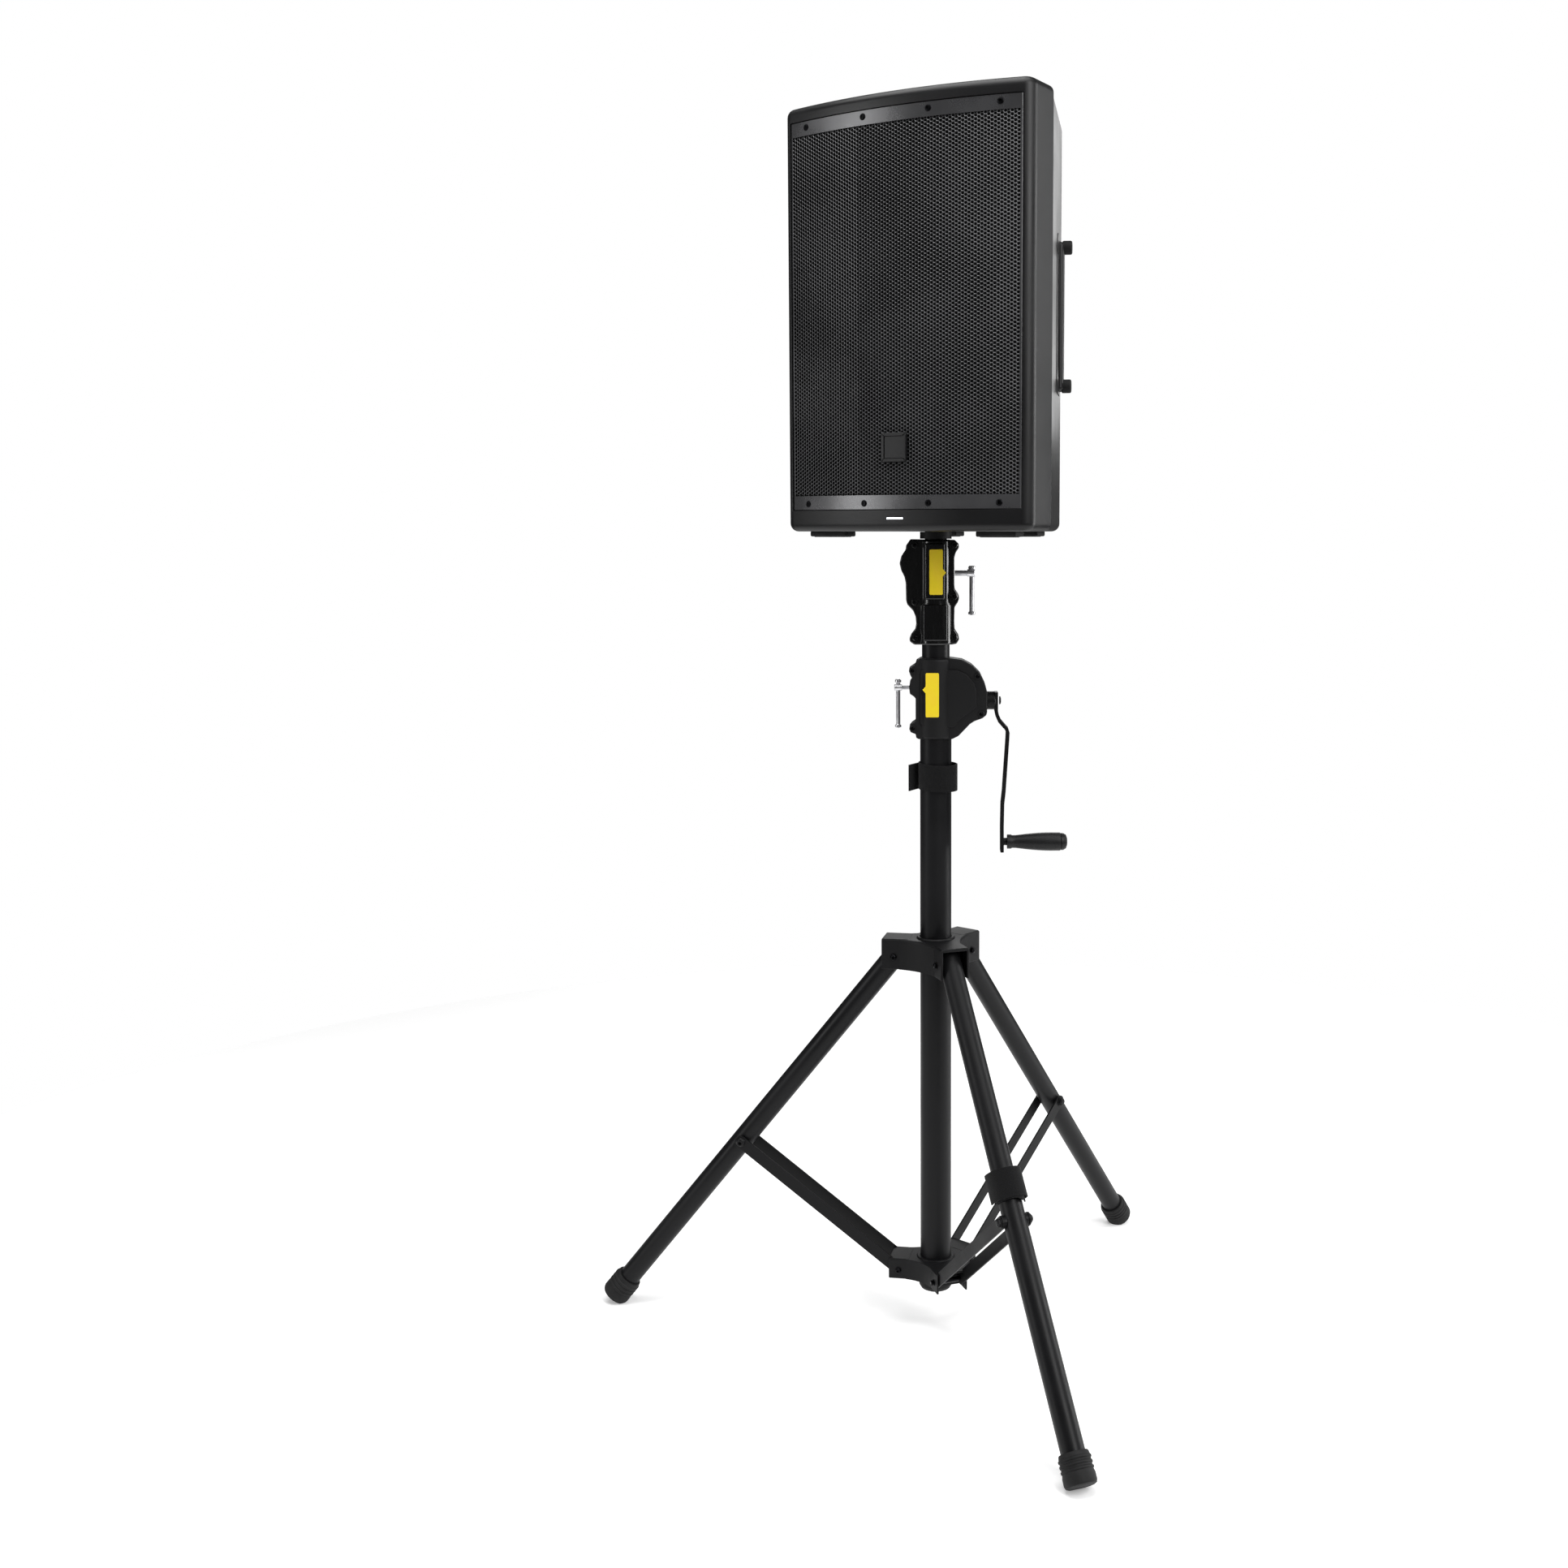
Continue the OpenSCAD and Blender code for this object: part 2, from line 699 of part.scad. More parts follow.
grille_edge = 1;
grille_front = 1.5;
grille_back = 3.5;
grille_screw_r = 3;
module grille_sheet(low, high, half, front, back) {
    intersection() {
        difference() {
            translate([0, bow_y + bow_r, low]) cylinder(r = bow_r - front, h = high - low, $fn = 200);
            translate([0, bow_y + bow_r, low - past])
                cylinder(r = bow_r - back, h = high - low + 2 * past, $fn = 200);
        }
        translate([-half, bow_y - past, low]) cube([2 * half, 60, high - low]);
    }
}
grille_low = box_low + trim_low + grille_edge;
grille_high = box_top - trim_top - grille_edge;
grille_half = window_w - grille_edge;
screw_xs = [-170, -57, 57, 170];
function bow_at(x) = bow_y + bow_r - sqrt(bow_r * bow_r - x * x);
// each grille screw stands square to the bulging front
module grille_screw_places() {
    for (x = screw_xs, z = [grille_low + 9, grille_high - 9])
        translate([x, bow_at(x), z]) rotate(asin(x / bow_r)) children();
}

module grille() {
    color("#2a2a2c") at_mast() difference() {
        union() {
            grille_sheet(grille_low, grille_high, grille_half, grille_front, grille_back);
            for (side = [-1, 1]) translate([side * (grille_half - 1) - 1, -front_gap + 2, grille_low])
                cube([2, 14, grille_high - grille_low]);
        }
        grille_screw_places() bar_y(grille_screw_r + 0.2, -5, 10);
    }
}

module grille_screws() {
    color("#3c3c40") at_mast() grille_screw_places() {
        bar_y(grille_screw_r, 0.8, 18);
        bar_y(5.5, -1, grille_front - 0.05);
    }
}

module badge() {
    size = 44;
    color("#1e1e20") at_mast() translate([0, bow_y, box_low + 127]) difference() {
        upright(-4, 1.4) rounded_square(-size / 2, -size / 2, size / 2, size / 2, 3);
        upright(-5, -2.5) rounded_square(-size / 2 + 5, -size / 2 + 5, size / 2 - 5, size / 2 - 5, 2);
    }
}

module power_light() {
    color("white") at_mast() translate([-14.5, bow_y + 0.2, box_low + 18.5]) cube([29, 3.7, 3]);
}

// ---- drivers

// an outline of radius and depth turned about the woofer's axis; depth grows towards the back
module turned_at(z) { at_mast() translate([0, baffle_y, z]) rotate([-90, 0, 0]) rotate_extrude() children(); }

basket_y = 105;
coil_r = 38;
cone_r = 150;

module woofer_basket() {
    color("#2b2b2d") difference() {
        turned_at(woofer_z) polygon([
            [177, -4], [woofer_r, -4], [woofer_r, 0], [177, 0], [176, 12], [158, 40],
            [84, basket_y], [40, basket_y], [40, basket_y - 5], [81, basket_y - 5], [152, 38],
            [170, 10], [171.3, 8], [171.3, -4]
        ]);
        at_mast() translate([0, baffle_y, woofer_z]) rotate([-90, 0, 0]) for (k = [0:5])
            rotate(60 * k + 30) translate([128, -30, 20]) cube([60, 60, 52]);
    }
}
module woofer_surround() {
    color("#101010") turned_at(woofer_z) polygon([
        [cone_r + 0.5, -5], [154, -10], [161, -13.5], [168, -10], [171, -5], [171, -1.5],
        [167, -7], [161, -10.5], [155, -7], [cone_r + 0.5, -3]
    ]);
}
module woofer_cone() {
    color("#17171a") turned_at(woofer_z) polygon([
        [0, 22], [20, 25], [44, 34], [46, 42], [cone_r, -5], [cone_r, -2.5], [50, 52],
        [coil_r, 56], [coil_r, 96], [coil_r - 1, 96], [coil_r - 1, 54], [44, 45], [42, 36],
        [20, 27.5], [0, 24.5]
    ]);
}
module woofer_magnet() {
    color("#55565a") turned_at(woofer_z) polygon([
        [0, basket_y + 1.5], [30, basket_y + 1.5], [30, basket_y], [78, basket_y],
        [78, basket_y + 40], [0, basket_y + 40]
    ]);
}

module horn() {
    mouth_x = 165;
    mouth_z = 88;
    depth = 82;
    color("#141416") at_mast() translate([0, baffle_y, horn_z]) difference() {
        union() {
            hull() {
                translate([-mouth_x, -4, -mouth_z]) cube([2 * mouth_x, 6, 2 * mouth_z]);
                bar_y(17, depth, depth + 4, $fn = 24);
            }
            upright(-4, 0) rounded_square(-mouth_x - 12, -mouth_z - 6, mouth_x + 12, mouth_z + 6, 6);
        }
        hull() {
            translate([-mouth_x + 4, -8, -mouth_z + 4]) cube([2 * mouth_x - 8, 4, 2 * mouth_z - 8]);
            bar_y(12.7, depth + 2, depth + 6, $fn = 24);
        }
    }
}
module compression_driver() {
    color("#3b3c40") at_mast() translate([0, baffle_y, horn_z]) {
        bar_y(30, 86, 92);
        bar_y(52, 92, 132);
    }
}

// ---- amplifier

module amp_board() {
    fin = 3;
    color("#7c7f83") at_mast() {
        translate([-62, 150, panel_low + 15]) cube([124, 8, 150]);
        for (k = [0:8]) translate([-60 + k * 14.6, 132, panel_low + 15]) cube([fin, 18, 150]);
        translate([-70, 180, panel_low + 10]) cube([140, 2, 180]);
        for (x = [-50, 50]) translate([x, 158, panel_low + 30]) cube([8, 22, 40]);
    }
}

jack_places = [[-48, 190], [0, 190], [48, 190], [-48, 146]];
inlet = [18, 20];
knob_xs = [-20, 28];
knob_z = 146;
switch_place = [-32, 34];

module amp_panel() {
    rim = 3;
    color("#202124") at_mast() difference() {
        union() {
            translate([-panel_x, panel_y - 3, panel_low])
                cube([2 * panel_x, 3, panel_high - panel_low]);
            difference() {
                translate([-panel_x, panel_y - 3, panel_low])
                    cube([2 * panel_x, 23, panel_high - panel_low]);
                translate([-panel_x + rim, panel_y, panel_low + rim])
                    cube([2 * (panel_x - rim), 40, panel_high - panel_low - 2 * rim]);
            }
        }
        for (p = jack_places) translate([p[0], panel_y, panel_low + p[1]]) bar_y(11, -10, 5);
        for (x = knob_xs) translate([x, panel_y, panel_low + knob_z]) bar_y(3.4, -10, 5);
        translate([inlet[0], panel_y - 10, panel_low + inlet[1]]) cube([34, 20, 28]);
        translate([switch_place[0] - 8, panel_y - 10, panel_low + switch_place[1] - 11])
            cube([16, 20, 22]);
    }
}

module input_jacks() {
    color("#111113") at_mast() {
        for (p = jack_places) translate([p[0], panel_y, panel_low + p[1]]) difference() {
            union() {
                bar_y(11, -14, 1);
                bar_y(13, 0, 3);
            }
            bar_y(7.5, -10, 5);
        }
        translate([inlet[0], panel_y - 14, panel_low + inlet[1]]) difference() {
            cube([34, 17, 28]);
            translate([4, 3, 4]) cube([26, 20, 20]);
        }
    }
}

module level_knob(k) {
    color("#38393c") at_mast() translate([knob_xs[k], panel_y, panel_low + knob_z]) difference() {
        union() {
            bar_y(3, -8, 2);
            bar_y(8, 0.6, 14);
        }
        translate([-0.8, 12.5, 1]) cube([1.6, 5, 8]);
    }
}
module level_knob_one() { level_knob(0); }
module level_knob_two() { level_knob(1); }

module power_switch() {
    color("#0e0e0f") at_mast()
        translate([switch_place[0], panel_y - 1, panel_low + switch_place[1]]) difference() {
            rotate([0, 90, 0]) cylinder(r = 9.6, h = 14, center = true);
            translate([-10, 2.2, -12]) rotate([-8, 0, 0]) cube([20, 20, 24]);
            translate([-10, -13, -12]) cube([20, 6, 24]);
        }
}

// ---- handles, feet, socket and rigging

module handle(side) {
    grip_s = 199;
    grip_t = 29;
    color("#161618") on_side(side) difference() {
        union() {
            // cup
            translate([-56, handle_s0, handle_z0])
                cube([57, handle_s1 - handle_s0, handle_z1 - handle_z0]);
            // hand bar
            translate([-14, grip_s, handle_z0 + 8])
                cube([25, grip_t, handle_z1 - handle_z0 - 16]);
        }
        translate([-53, handle_s0 + 4, handle_z0 + 24])
            cube([39, handle_s1 - handle_s0 - 8, handle_z1 - handle_z0 - 48]);
        translate([-30, handle_s0 + 14, handle_z0 + 24])
            cube([60, grip_s - handle_s0 - 14, handle_z1 - handle_z0 - 48]);
    }
}
module right_handle() { handle(1); }
module left_handle() { handle(-1); }

module rubber_feet() {
    color("#0c0c0d") {
        at_mast() for (side = [-1, 1]) {
            translate([side * 150 - 34, -82, box_low - 8]) cube([68, 30, 8]);
            translate([side * 76 - 20, 165, box_low - 8]) cube([40, 30, 8]);
        }
        for (side = [-1, 1], z = [handle_z0 + 15, handle_z1 - 15])
            on_side(side) translate([11, 214, z]) bar_x(11, 0, 9);
    }
}

module pole_socket() {
    socket_r = 22;
    bore_r = pole_r + 0.3;
    color("#232326") at_mast() difference() {
        union() {
            translate([0, 0, box_low]) cylinder(r = socket_r, h = 92);
            translate([0, 0, box_low + skin]) cylinder(r = 27, h = 4);
        }
        translate([0, 0, box_low - past]) cylinder(r = bore_r, h = 86 + past);
    }
}

module rigging_inserts() {
    tap_r = 4.25;
    color("#b9babd") at_mast() for (x = [-140, 140]) translate([x, 30, box_top - 24]) difference() {
        cylinder(r = 9, h = 24);
        translate([0, 0, 4]) cylinder(r = tap_r, h = 30);
    }
}

mast_tube();
mast_end_cap();
spreader_hub();
spreader_bolts();
mast_strap();
winch_case_front();
winch_case_rear();
winch_screws();
winch_drum();
crank_shaft();
crank_arm();
crank_grip();
lower_clamp_screw();
lower_tommy_bar();
leg_hub();
leg_bolts();
hub_lock_knob();
front_leg();
rear_leg();
left_leg();
front_foot();
rear_foot();
left_foot();
leg_strap();
front_strut();
rear_strut();
left_strut();
mid_tube();
lift_plug();
clamp_case_front();
clamp_case_rear();
clamp_screws();
upper_clamp_screw();
upper_tommy_bar();
top_pole();
pole_ring();
front_shell();
rear_shell();
shell_screws();
grille();
grille_screws();
badge();
power_light();
woofer_basket();
woofer_surround();
woofer_cone();
woofer_magnet();
horn();
compression_driver();
amp_board();
amp_panel();
input_jacks();
level_knob_one();
level_knob_two();
power_switch();
right_handle();
left_handle();
rubber_feet();
pole_socket();
rigging_inserts();
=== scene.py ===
import json
import math

import bmesh
import bpy
from mathutils import Matrix, Vector


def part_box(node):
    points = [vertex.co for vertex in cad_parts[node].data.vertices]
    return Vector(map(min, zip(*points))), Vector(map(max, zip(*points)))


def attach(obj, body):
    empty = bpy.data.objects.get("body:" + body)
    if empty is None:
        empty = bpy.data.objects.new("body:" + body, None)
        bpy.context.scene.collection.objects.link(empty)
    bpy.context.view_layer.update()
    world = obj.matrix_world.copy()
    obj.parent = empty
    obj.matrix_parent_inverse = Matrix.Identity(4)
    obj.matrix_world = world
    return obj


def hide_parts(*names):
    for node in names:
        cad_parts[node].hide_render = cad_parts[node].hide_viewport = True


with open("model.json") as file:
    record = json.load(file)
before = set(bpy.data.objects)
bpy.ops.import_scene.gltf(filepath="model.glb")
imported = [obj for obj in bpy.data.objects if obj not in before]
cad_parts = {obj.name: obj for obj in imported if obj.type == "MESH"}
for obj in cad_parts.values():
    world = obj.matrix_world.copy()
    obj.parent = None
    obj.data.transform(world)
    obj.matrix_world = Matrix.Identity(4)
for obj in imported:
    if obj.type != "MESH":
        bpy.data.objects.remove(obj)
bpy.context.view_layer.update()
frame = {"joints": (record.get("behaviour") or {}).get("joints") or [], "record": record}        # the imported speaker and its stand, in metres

# Two working frames in millimetres, both on the mast's axis: the speaker's, and the stand's,
# which is turned so that X runs out along the crank's shaft and the camera looks along Y.
joints = {joint["name"]: joint for joint in frame["joints"]}
mastFoot = Vector(joints["speaker_swivel"]["pos_m"])
mastFoot.z = 0
crankAxis = joints["crank_turn"]["axis"]
standTurn = math.atan2(crankAxis[1], crankAxis[0])
millimetres = Matrix.Scale(0.001, 4)
speakerFrame = Matrix.Translation(mastFoot) @ millimetres
standFrame = Matrix.Translation(mastFoot) @ Matrix.Rotation(standTurn, 4, "Z") @ millimetres
alongX = Matrix.Rotation(math.pi / 2, 4, "Y")      # turns Z to X
alongY = Matrix.Rotation(-math.pi / 2, 4, "X")     # turns Z to Y
faceFront = Matrix.Rotation(math.pi / 2, 4, "X")   # turns Z to -Y
legNames = ("front", "rear", "left")


def legFrame(name):
    # X runs down the leg from its pivot, Y across it
    pivot = Vector(joints[name + "_leg_fold"]["pos_m"])
    along = (Vector(joints[name + "_strut_fold"]["pos_m"]) - pivot).normalized()
    outwards = Vector((pivot.x - mastFoot.x, pivot.y - mastFoot.y, 0)).normalized()
    across = Vector((0, 0, 1)).cross(outwards)
    turn = Matrix((along, across, along.cross(across))).transposed().to_4x4()
    return Matrix.Translation(pivot) @ turn @ millimetres


def legTurn(name):
    # how far a leg is turned from the stand's X
    pivot = Vector(joints[name + "_leg_fold"]["pos_m"]) - mastFoot
    return math.atan2(pivot.y, pivot.x) - standTurn


def heights(node):
    # lowest and highest point of a CAD node, in millimetres
    low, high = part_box(node)
    return low.z * 1000, high.z * 1000


def jointHeight(name):
    return joints[name]["pos_m"][2] * 1000


# camera, floor and light

cameraSet = {
    "distance": 2.7774, "height": 1.3019, "pitch": -5.37,
    "lens": 40.17, "shiftX": -0.0968, "shiftY": -0.0569,
}


def makeCamera():
    data = bpy.data.cameras.new("productCamera")
    data.lens = cameraSet["lens"]
    data.shift_x = cameraSet["shiftX"]
    data.shift_y = cameraSet["shiftY"]
    camera = bpy.data.objects.new("productCamera", data)
    bpy.context.scene.collection.objects.link(camera)
    eye = Matrix.Rotation(standTurn, 4, "Z") @ Vector((0, -cameraSet["distance"], cameraSet["height"]))
    camera.location = mastFoot + eye
    camera.rotation_euler = (math.radians(90 + cameraSet["pitch"]), 0, standTurn)
    bpy.context.scene.camera = camera


# each softbox: where it hangs, in metres in the stand's turned frame, its size and its power
studio = {
    "floorRadius": 2.3, "floorColour": (0.93, 0.93, 0.93), "skyColour": (1, 1, 1),
    "skySeen": 1.0, "skyLight": 0.08, "floorGlow": 0.25,
    "softboxes": [
        ("keyBox", (1.9, -2.6, 3.0), (1.6, 2.2), 95),
        ("overheadBox", (-0.4, -0.4, 4.2), (3.2, 2.6), 120),
        ("leftStrip", (-2.9, -1.0, 1.7), (0.5, 2.6), 30),
        ("rightStrip", (2.9, 0.5, 1.6), (0.8, 2.8), 60),
        ("backBox", (0.4, 3.2, 2.4), (2.4, 1.6), 30),
    ],
    "aim": (0, 0, 1.25),
}


def makeStudio():
    bm = bmesh.new()
    bmesh.ops.create_circle(bm, cap_ends=True, segments=96, radius=studio["floorRadius"])
    mesh = bpy.data.meshes.new("paleFloor")
    bm.to_mesh(mesh)
    bm.free()
    floor = bpy.data.objects.new("paleFloor", mesh)
    bpy.context.scene.collection.objects.link(floor)
    paint = Finish("paleFloorPaint", studio["floorColour"], 0.9, Emission_Strength=studio["floorGlow"])
    paint.set("Emission Color", (1, 1, 1, 1))
    mesh.materials.append(paint.material)
    for name, place, size, power in studio["softboxes"]:
        data = bpy.data.lights.new(name, "AREA")
        data.shape = "RECTANGLE"
        data.size, data.size_y = size
        data.energy = power
        lamp = bpy.data.objects.new(name, data)
        bpy.context.scene.collection.objects.link(lamp)
        turn = Matrix.Rotation(standTurn, 4, "Z")
        lamp.location = mastFoot + turn @ Vector(place)
        aim = turn @ (Vector(studio["aim"]) - Vector(place))
        lamp.rotation_mode = "QUATERNION"
        lamp.rotation_quaternion = aim.to_track_quat("-Z", "Y")
    # the sky is seen white, and lights the object more weakly
    world = bpy.data.worlds.new("whiteRoom")
    world.use_nodes = True
    bpy.context.scene.world = world
    nodes, links = world.node_tree.nodes, world.node_tree.links
    nodes.clear()
    seen, lit = nodes.new("ShaderNodeBackground"), nodes.new("ShaderNodeBackground")
    for background, strength in ((seen, studio["skySeen"]), (lit, studio["skyLight"])):
        background.inputs["Color"].default_value = (*studio["skyColour"], 1)
        background.inputs["Strength"].default_value = strength
    mix = nodes.new("ShaderNodeMixShader")
    links.new(nodes.new("ShaderNodeLightPath").outputs["Is Camera Ray"], mix.inputs[0])
    links.new(lit.outputs[0], mix.inputs[1])
    links.new(seen.outputs[0], mix.inputs[2])
    links.new(mix.outputs[0], nodes.new("ShaderNodeOutputWorld").inputs["Surface"])
    bpy.context.scene.view_settings.view_transform = "Standard"


# finishes

class Value:
    # a socket that sums and products can be written with
    def __init__(self, finish, socket):
        self.finish = finish
        self.socket = socket

    def maths(self, operation, *others):
        sockets = dict(enumerate((self, *others)))
        return self.finish.node("ShaderNodeMath", {"operation": operation}, sockets)

    def __add__(self, other):
        return self.maths("ADD", other)

    def __mul__(self, other):
        return self.maths("MULTIPLY", other)

    __radd__ = __add__
    __rmul__ = __mul__


class Finish:
    def __init__(self, name, colour, roughness, **fixed):
        self.material = bpy.data.materials.new(name)
        self.material.use_nodes = True
        self.material.diffuse_color = (*colour, 1)
        self.tree = self.material.node_tree
        self.shader = self.tree.nodes["Principled BSDF"]
        self.set("Base Color", (*colour, 1))
        self.set("Roughness", roughness)
        for socket, value in fixed.items():
            self.set(socket.replace("_", " "), value)

    def node(self, kind, settings=None, sockets=None, output=0):
        made = self.tree.nodes.new(kind)
        for key, value in (settings or {}).items():
            if key == "stops":
                for stop, (place, colour) in zip(made.color_ramp.elements, value):
                    stop.position = place
                    stop.color = colour
            else:
                setattr(made, key, value)
        for key, value in (sockets or {}).items():
            self.feed(made.inputs[key], value)
        return Value(self, made.outputs[output])

    def feed(self, socket, value):
        if isinstance(value, Value):
            self.tree.links.new(value.socket, socket)
        else:
            socket.default_value = value

    def set(self, socket, value):
        self.feed(self.shader.inputs[socket], value)

    def where(self, output="Object"):
        return self.node("ShaderNodeTexCoord", output=output)

    def noise(self, scale, detail=2.0, where=None, stretch=None, rough=0.5):
        place = where or self.where()
        if stretch:
            place = self.node("ShaderNodeMapping", None, {"Vector": place, "Scale": stretch})
        sockets = {"Vector": place, "Scale": scale, "Detail": detail, "Roughness": rough}
        return self.node("ShaderNodeTexNoise", None, sockets)

    def cells(self, scale, feature="F1", where=None):
        sockets = {"Vector": where or self.where(), "Scale": scale}
        return self.node("ShaderNodeTexVoronoi", {"feature": feature}, sockets)

    def across(self, value, low, high, outLow, outHigh):
        # a value between two limits carried over to two others
        settings = {"interpolation_type": "SMOOTHSTEP"}
        sockets = {"Value": value, 1: low, 2: high, 3: outLow, 4: outHigh}
        return self.node("ShaderNodeMapRange", settings, sockets)

    def mixed(self, factor, first, second):
        settings = {"data_type": "RGBA"}
        return self.node("ShaderNodeMix", settings, {0: factor, 6: first, 7: second}, output=2)

    def shade(self, value, low, high, first, second):
        # the base colour runs from one to the other as a value goes from low to high
        self.set("Base Color", self.mixed(self.across(value, low, high, 0, 1), first, second))

    def bump(self, height, depth, strength=1.0):
        sockets = {"Height": height, "Distance": depth, "Strength": strength}
        self.set("Normal", self.node("ShaderNodeBump", None, sockets))


blackness = 0.22      # the blacks of the record taken down to how they look under this light


def lighter(colour, times):
    return (*(part * times for part in colour), 1)


def powderCoat(name, colour, roughness=0.42, gloss=0.18, metallic=0, peel=700):
    # baked powder: a fine orange peel, with slow changes of sheen along the tube
    paint = Finish(name, colour, roughness, Specular_IOR_Level=gloss, Metallic=metallic)
    slow = paint.noise(9, 3)
    fine = paint.noise(peel, 2)
    paint.shade(slow, 0.3, 0.7, lighter(colour, 0.85), lighter(colour, 1.25))
    paint.set("Roughness", paint.across(slow + 0.25 * fine, 0.35, 0.85, roughness - 0.05, roughness + 0.07))
    paint.bump(fine, 0.00010, 0.55)
    return paint.material


def mouldedPlastic(name, colour, roughness=0.45, gloss=0.4, grain=1500, depth=0.00008):
    # moulded plastic with an eroded grain
    plastic = Finish(name, colour, roughness, Specular_IOR_Level=gloss)
    cells = plastic.cells(grain)
    fine = plastic.noise(grain * 0.8, 3)
    slow = plastic.noise(6, 2)
    plastic.shade(slow, 0.3, 0.7, lighter(colour, 0.9), lighter(colour, 1.18))
    uneven = plastic.across(slow + 0.3 * fine, 0.4, 0.9, roughness - 0.05, roughness + 0.06)
    plastic.set("Roughness", uneven)
    plastic.bump(cells + 0.6 * fine, depth, 0.6)
    return plastic.material


def glossPlastic(name, colour, roughness=0.2):
    # polished mould: slight sink marks and flow, hairline scuffs
    plastic = Finish(name, colour, roughness, Specular_IOR_Level=0.55)
    flow = plastic.noise(28, 2)
    scuffs = plastic.noise(160, 4, stretch=(1, 1, 0.12))
    plastic.shade(flow, 0.3, 0.7, lighter(colour, 0.8), lighter(colour, 1.3))
    plastic.set("Roughness", plastic.across(scuffs, 0.45, 0.75, roughness, roughness + 0.16))
    plastic.bump(flow, 0.0006, 0.35)
    return plastic.material


def softRubber(name, colour, roughness=0.72):
    # moulded rubber, dusty in patches
    rubber = Finish(name, colour, roughness, Specular_IOR_Level=0.35)
    dust = rubber.noise(24, 4, rough=0.62)
    fine = rubber.noise(1100, 2)
    rubber.shade(dust, 0.45, 0.8, lighter(colour, 1), lighter(colour, 2.1))
    rubber.set("Roughness", rubber.across(dust, 0.3, 0.8, roughness - 0.08, roughness + 0.12))
    rubber.bump(fine, 0.00008, 0.6)
    return rubber.material


def webbing(name, colour):
    # hook-and-loop tape: ribs across a woven ground, read from the strap's own map in metres
    tape = Finish(name, colour, 0.82, Sheen_Weight=0.05, Specular_IOR_Level=0.2)
    where = tape.where("UV")
    parts = tape.node("ShaderNodeSeparateXYZ", None, {"Vector": where})
    along, over = Value(tape, parts.socket), Value(tape, parts.socket.node.outputs[1])
    ribs = (along * 4200).maths("SINE") * 0.5 + 0.5
    rows = (over * 3600).maths("SINE") * 0.5 + 0.5
    fuzz = tape.noise(900, 4)
    weave = ribs * rows + 0.5 * fuzz
    tape.shade(weave, 0.2, 1.2, lighter(colour, 0.6), lighter(colour, 2.0))
    tape.set("Roughness", tape.across(fuzz, 0.3, 0.7, 0.75, 0.92))
    tape.bump(weave, 0.00035, 0.7)
    return tape.material


def brightMetal(name, colour, roughness=0.24, stretch=(1, 1, 0.08), marks=420):
    # plated or turned steel with fine marks along its length and a few dull spots
    metal = Finish(name, colour, roughness, Metallic=1.0)
    lines = metal.noise(marks, 3, stretch=stretch)
    spots = metal.noise(65, 3)
    metal.shade(spots, 0.35, 0.75, lighter(colour, 1), lighter(colour, 0.72))
    metal.set("Roughness", metal.across(lines + 0.5 * spots, 0.5, 1.1, roughness - 0.06, roughness + 0.14))
    metal.bump(lines, 0.00001, 0.4)
    return metal.material


def castMetal(name, colour, roughness=0.5):
    # rough iron or alloy, with a pebbled skin
    metal = Finish(name, colour, roughness, Metallic=0.85)
    pebble = metal.noise(380, 4)
    slow = metal.noise(30, 3)
    metal.shade(slow, 0.3, 0.7, lighter(colour, 0.8), lighter(colour, 1.15))
    metal.set("Roughness", metal.across(pebble, 0.3, 0.7, roughness - 0.08, roughness + 0.12))
    metal.bump(pebble, 0.0002, 0.5)
    return metal.material


def conePaper(name, colour):
    # pulp: matted fibres of two sizes
    paper = Finish(name, colour, 0.8)
    fibres = paper.noise(260, 6, rough=0.7)
    paper.shade(fibres, 0.35, 0.7, lighter(colour, 0.7), lighter(colour, 1.6))
    paper.set("Roughness", paper.across(fibres, 0.3, 0.7, 0.7, 0.9))
    paper.bump(fibres, 0.0003, 0.6)
    return paper.material


def labelPrint(name, colour):
    # a yellow sticker: laminated, a little cloudy, with a faint screen of ink
    sticker = Finish(name, colour, 0.38, Specular_IOR_Level=0.5)
    cloud = sticker.noise(60, 3)
    screen = sticker.cells(2600)
    warm = (colour[0], colour[1] * 0.93, colour[2], 1)
    sticker.shade(cloud + 0.15 * screen, 0.35, 0.85, lighter(colour, 1), warm)
    sticker.set("Roughness", sticker.across(cloud, 0.3, 0.7, 0.32, 0.46))
    sticker.bump(cloud, 0.00008, 0.4)
    return sticker.material


def clothFinish(name, colour):
    # plain weave of fine black yarn
    cloth = Finish(name, colour, 0.95, Specular_IOR_Level=0.2)
    parts = cloth.node("ShaderNodeSeparateXYZ", None, {"Vector": cloth.where()})
    across, up = Value(cloth, parts.socket), Value(cloth, parts.socket.node.outputs[2])
    weave = (across * 6300).maths("SINE") * (up * 6300).maths("SINE")
    cloth.shade(weave, -0.6, 0.8, lighter(colour, 0.5), lighter(colour, 1.5))
    cloth.bump(weave, 0.0001, 0.6)
    return cloth.material


def lampFinish(name, colour):
    # an opal light pipe, its glow tinted between cold white and white in patches
    lamp = Finish(name, colour, 0.3)
    glow = lamp.noise(90, 2)
    cold, white = (0.82, 0.9, 1, 1), (1, 1, 1, 1)
    lamp.set("Emission Color", lamp.mixed(lamp.across(glow, 0.3, 0.7, 0, 1), cold, white))
    lamp.set("Emission Strength", 1.6)
    return lamp.material


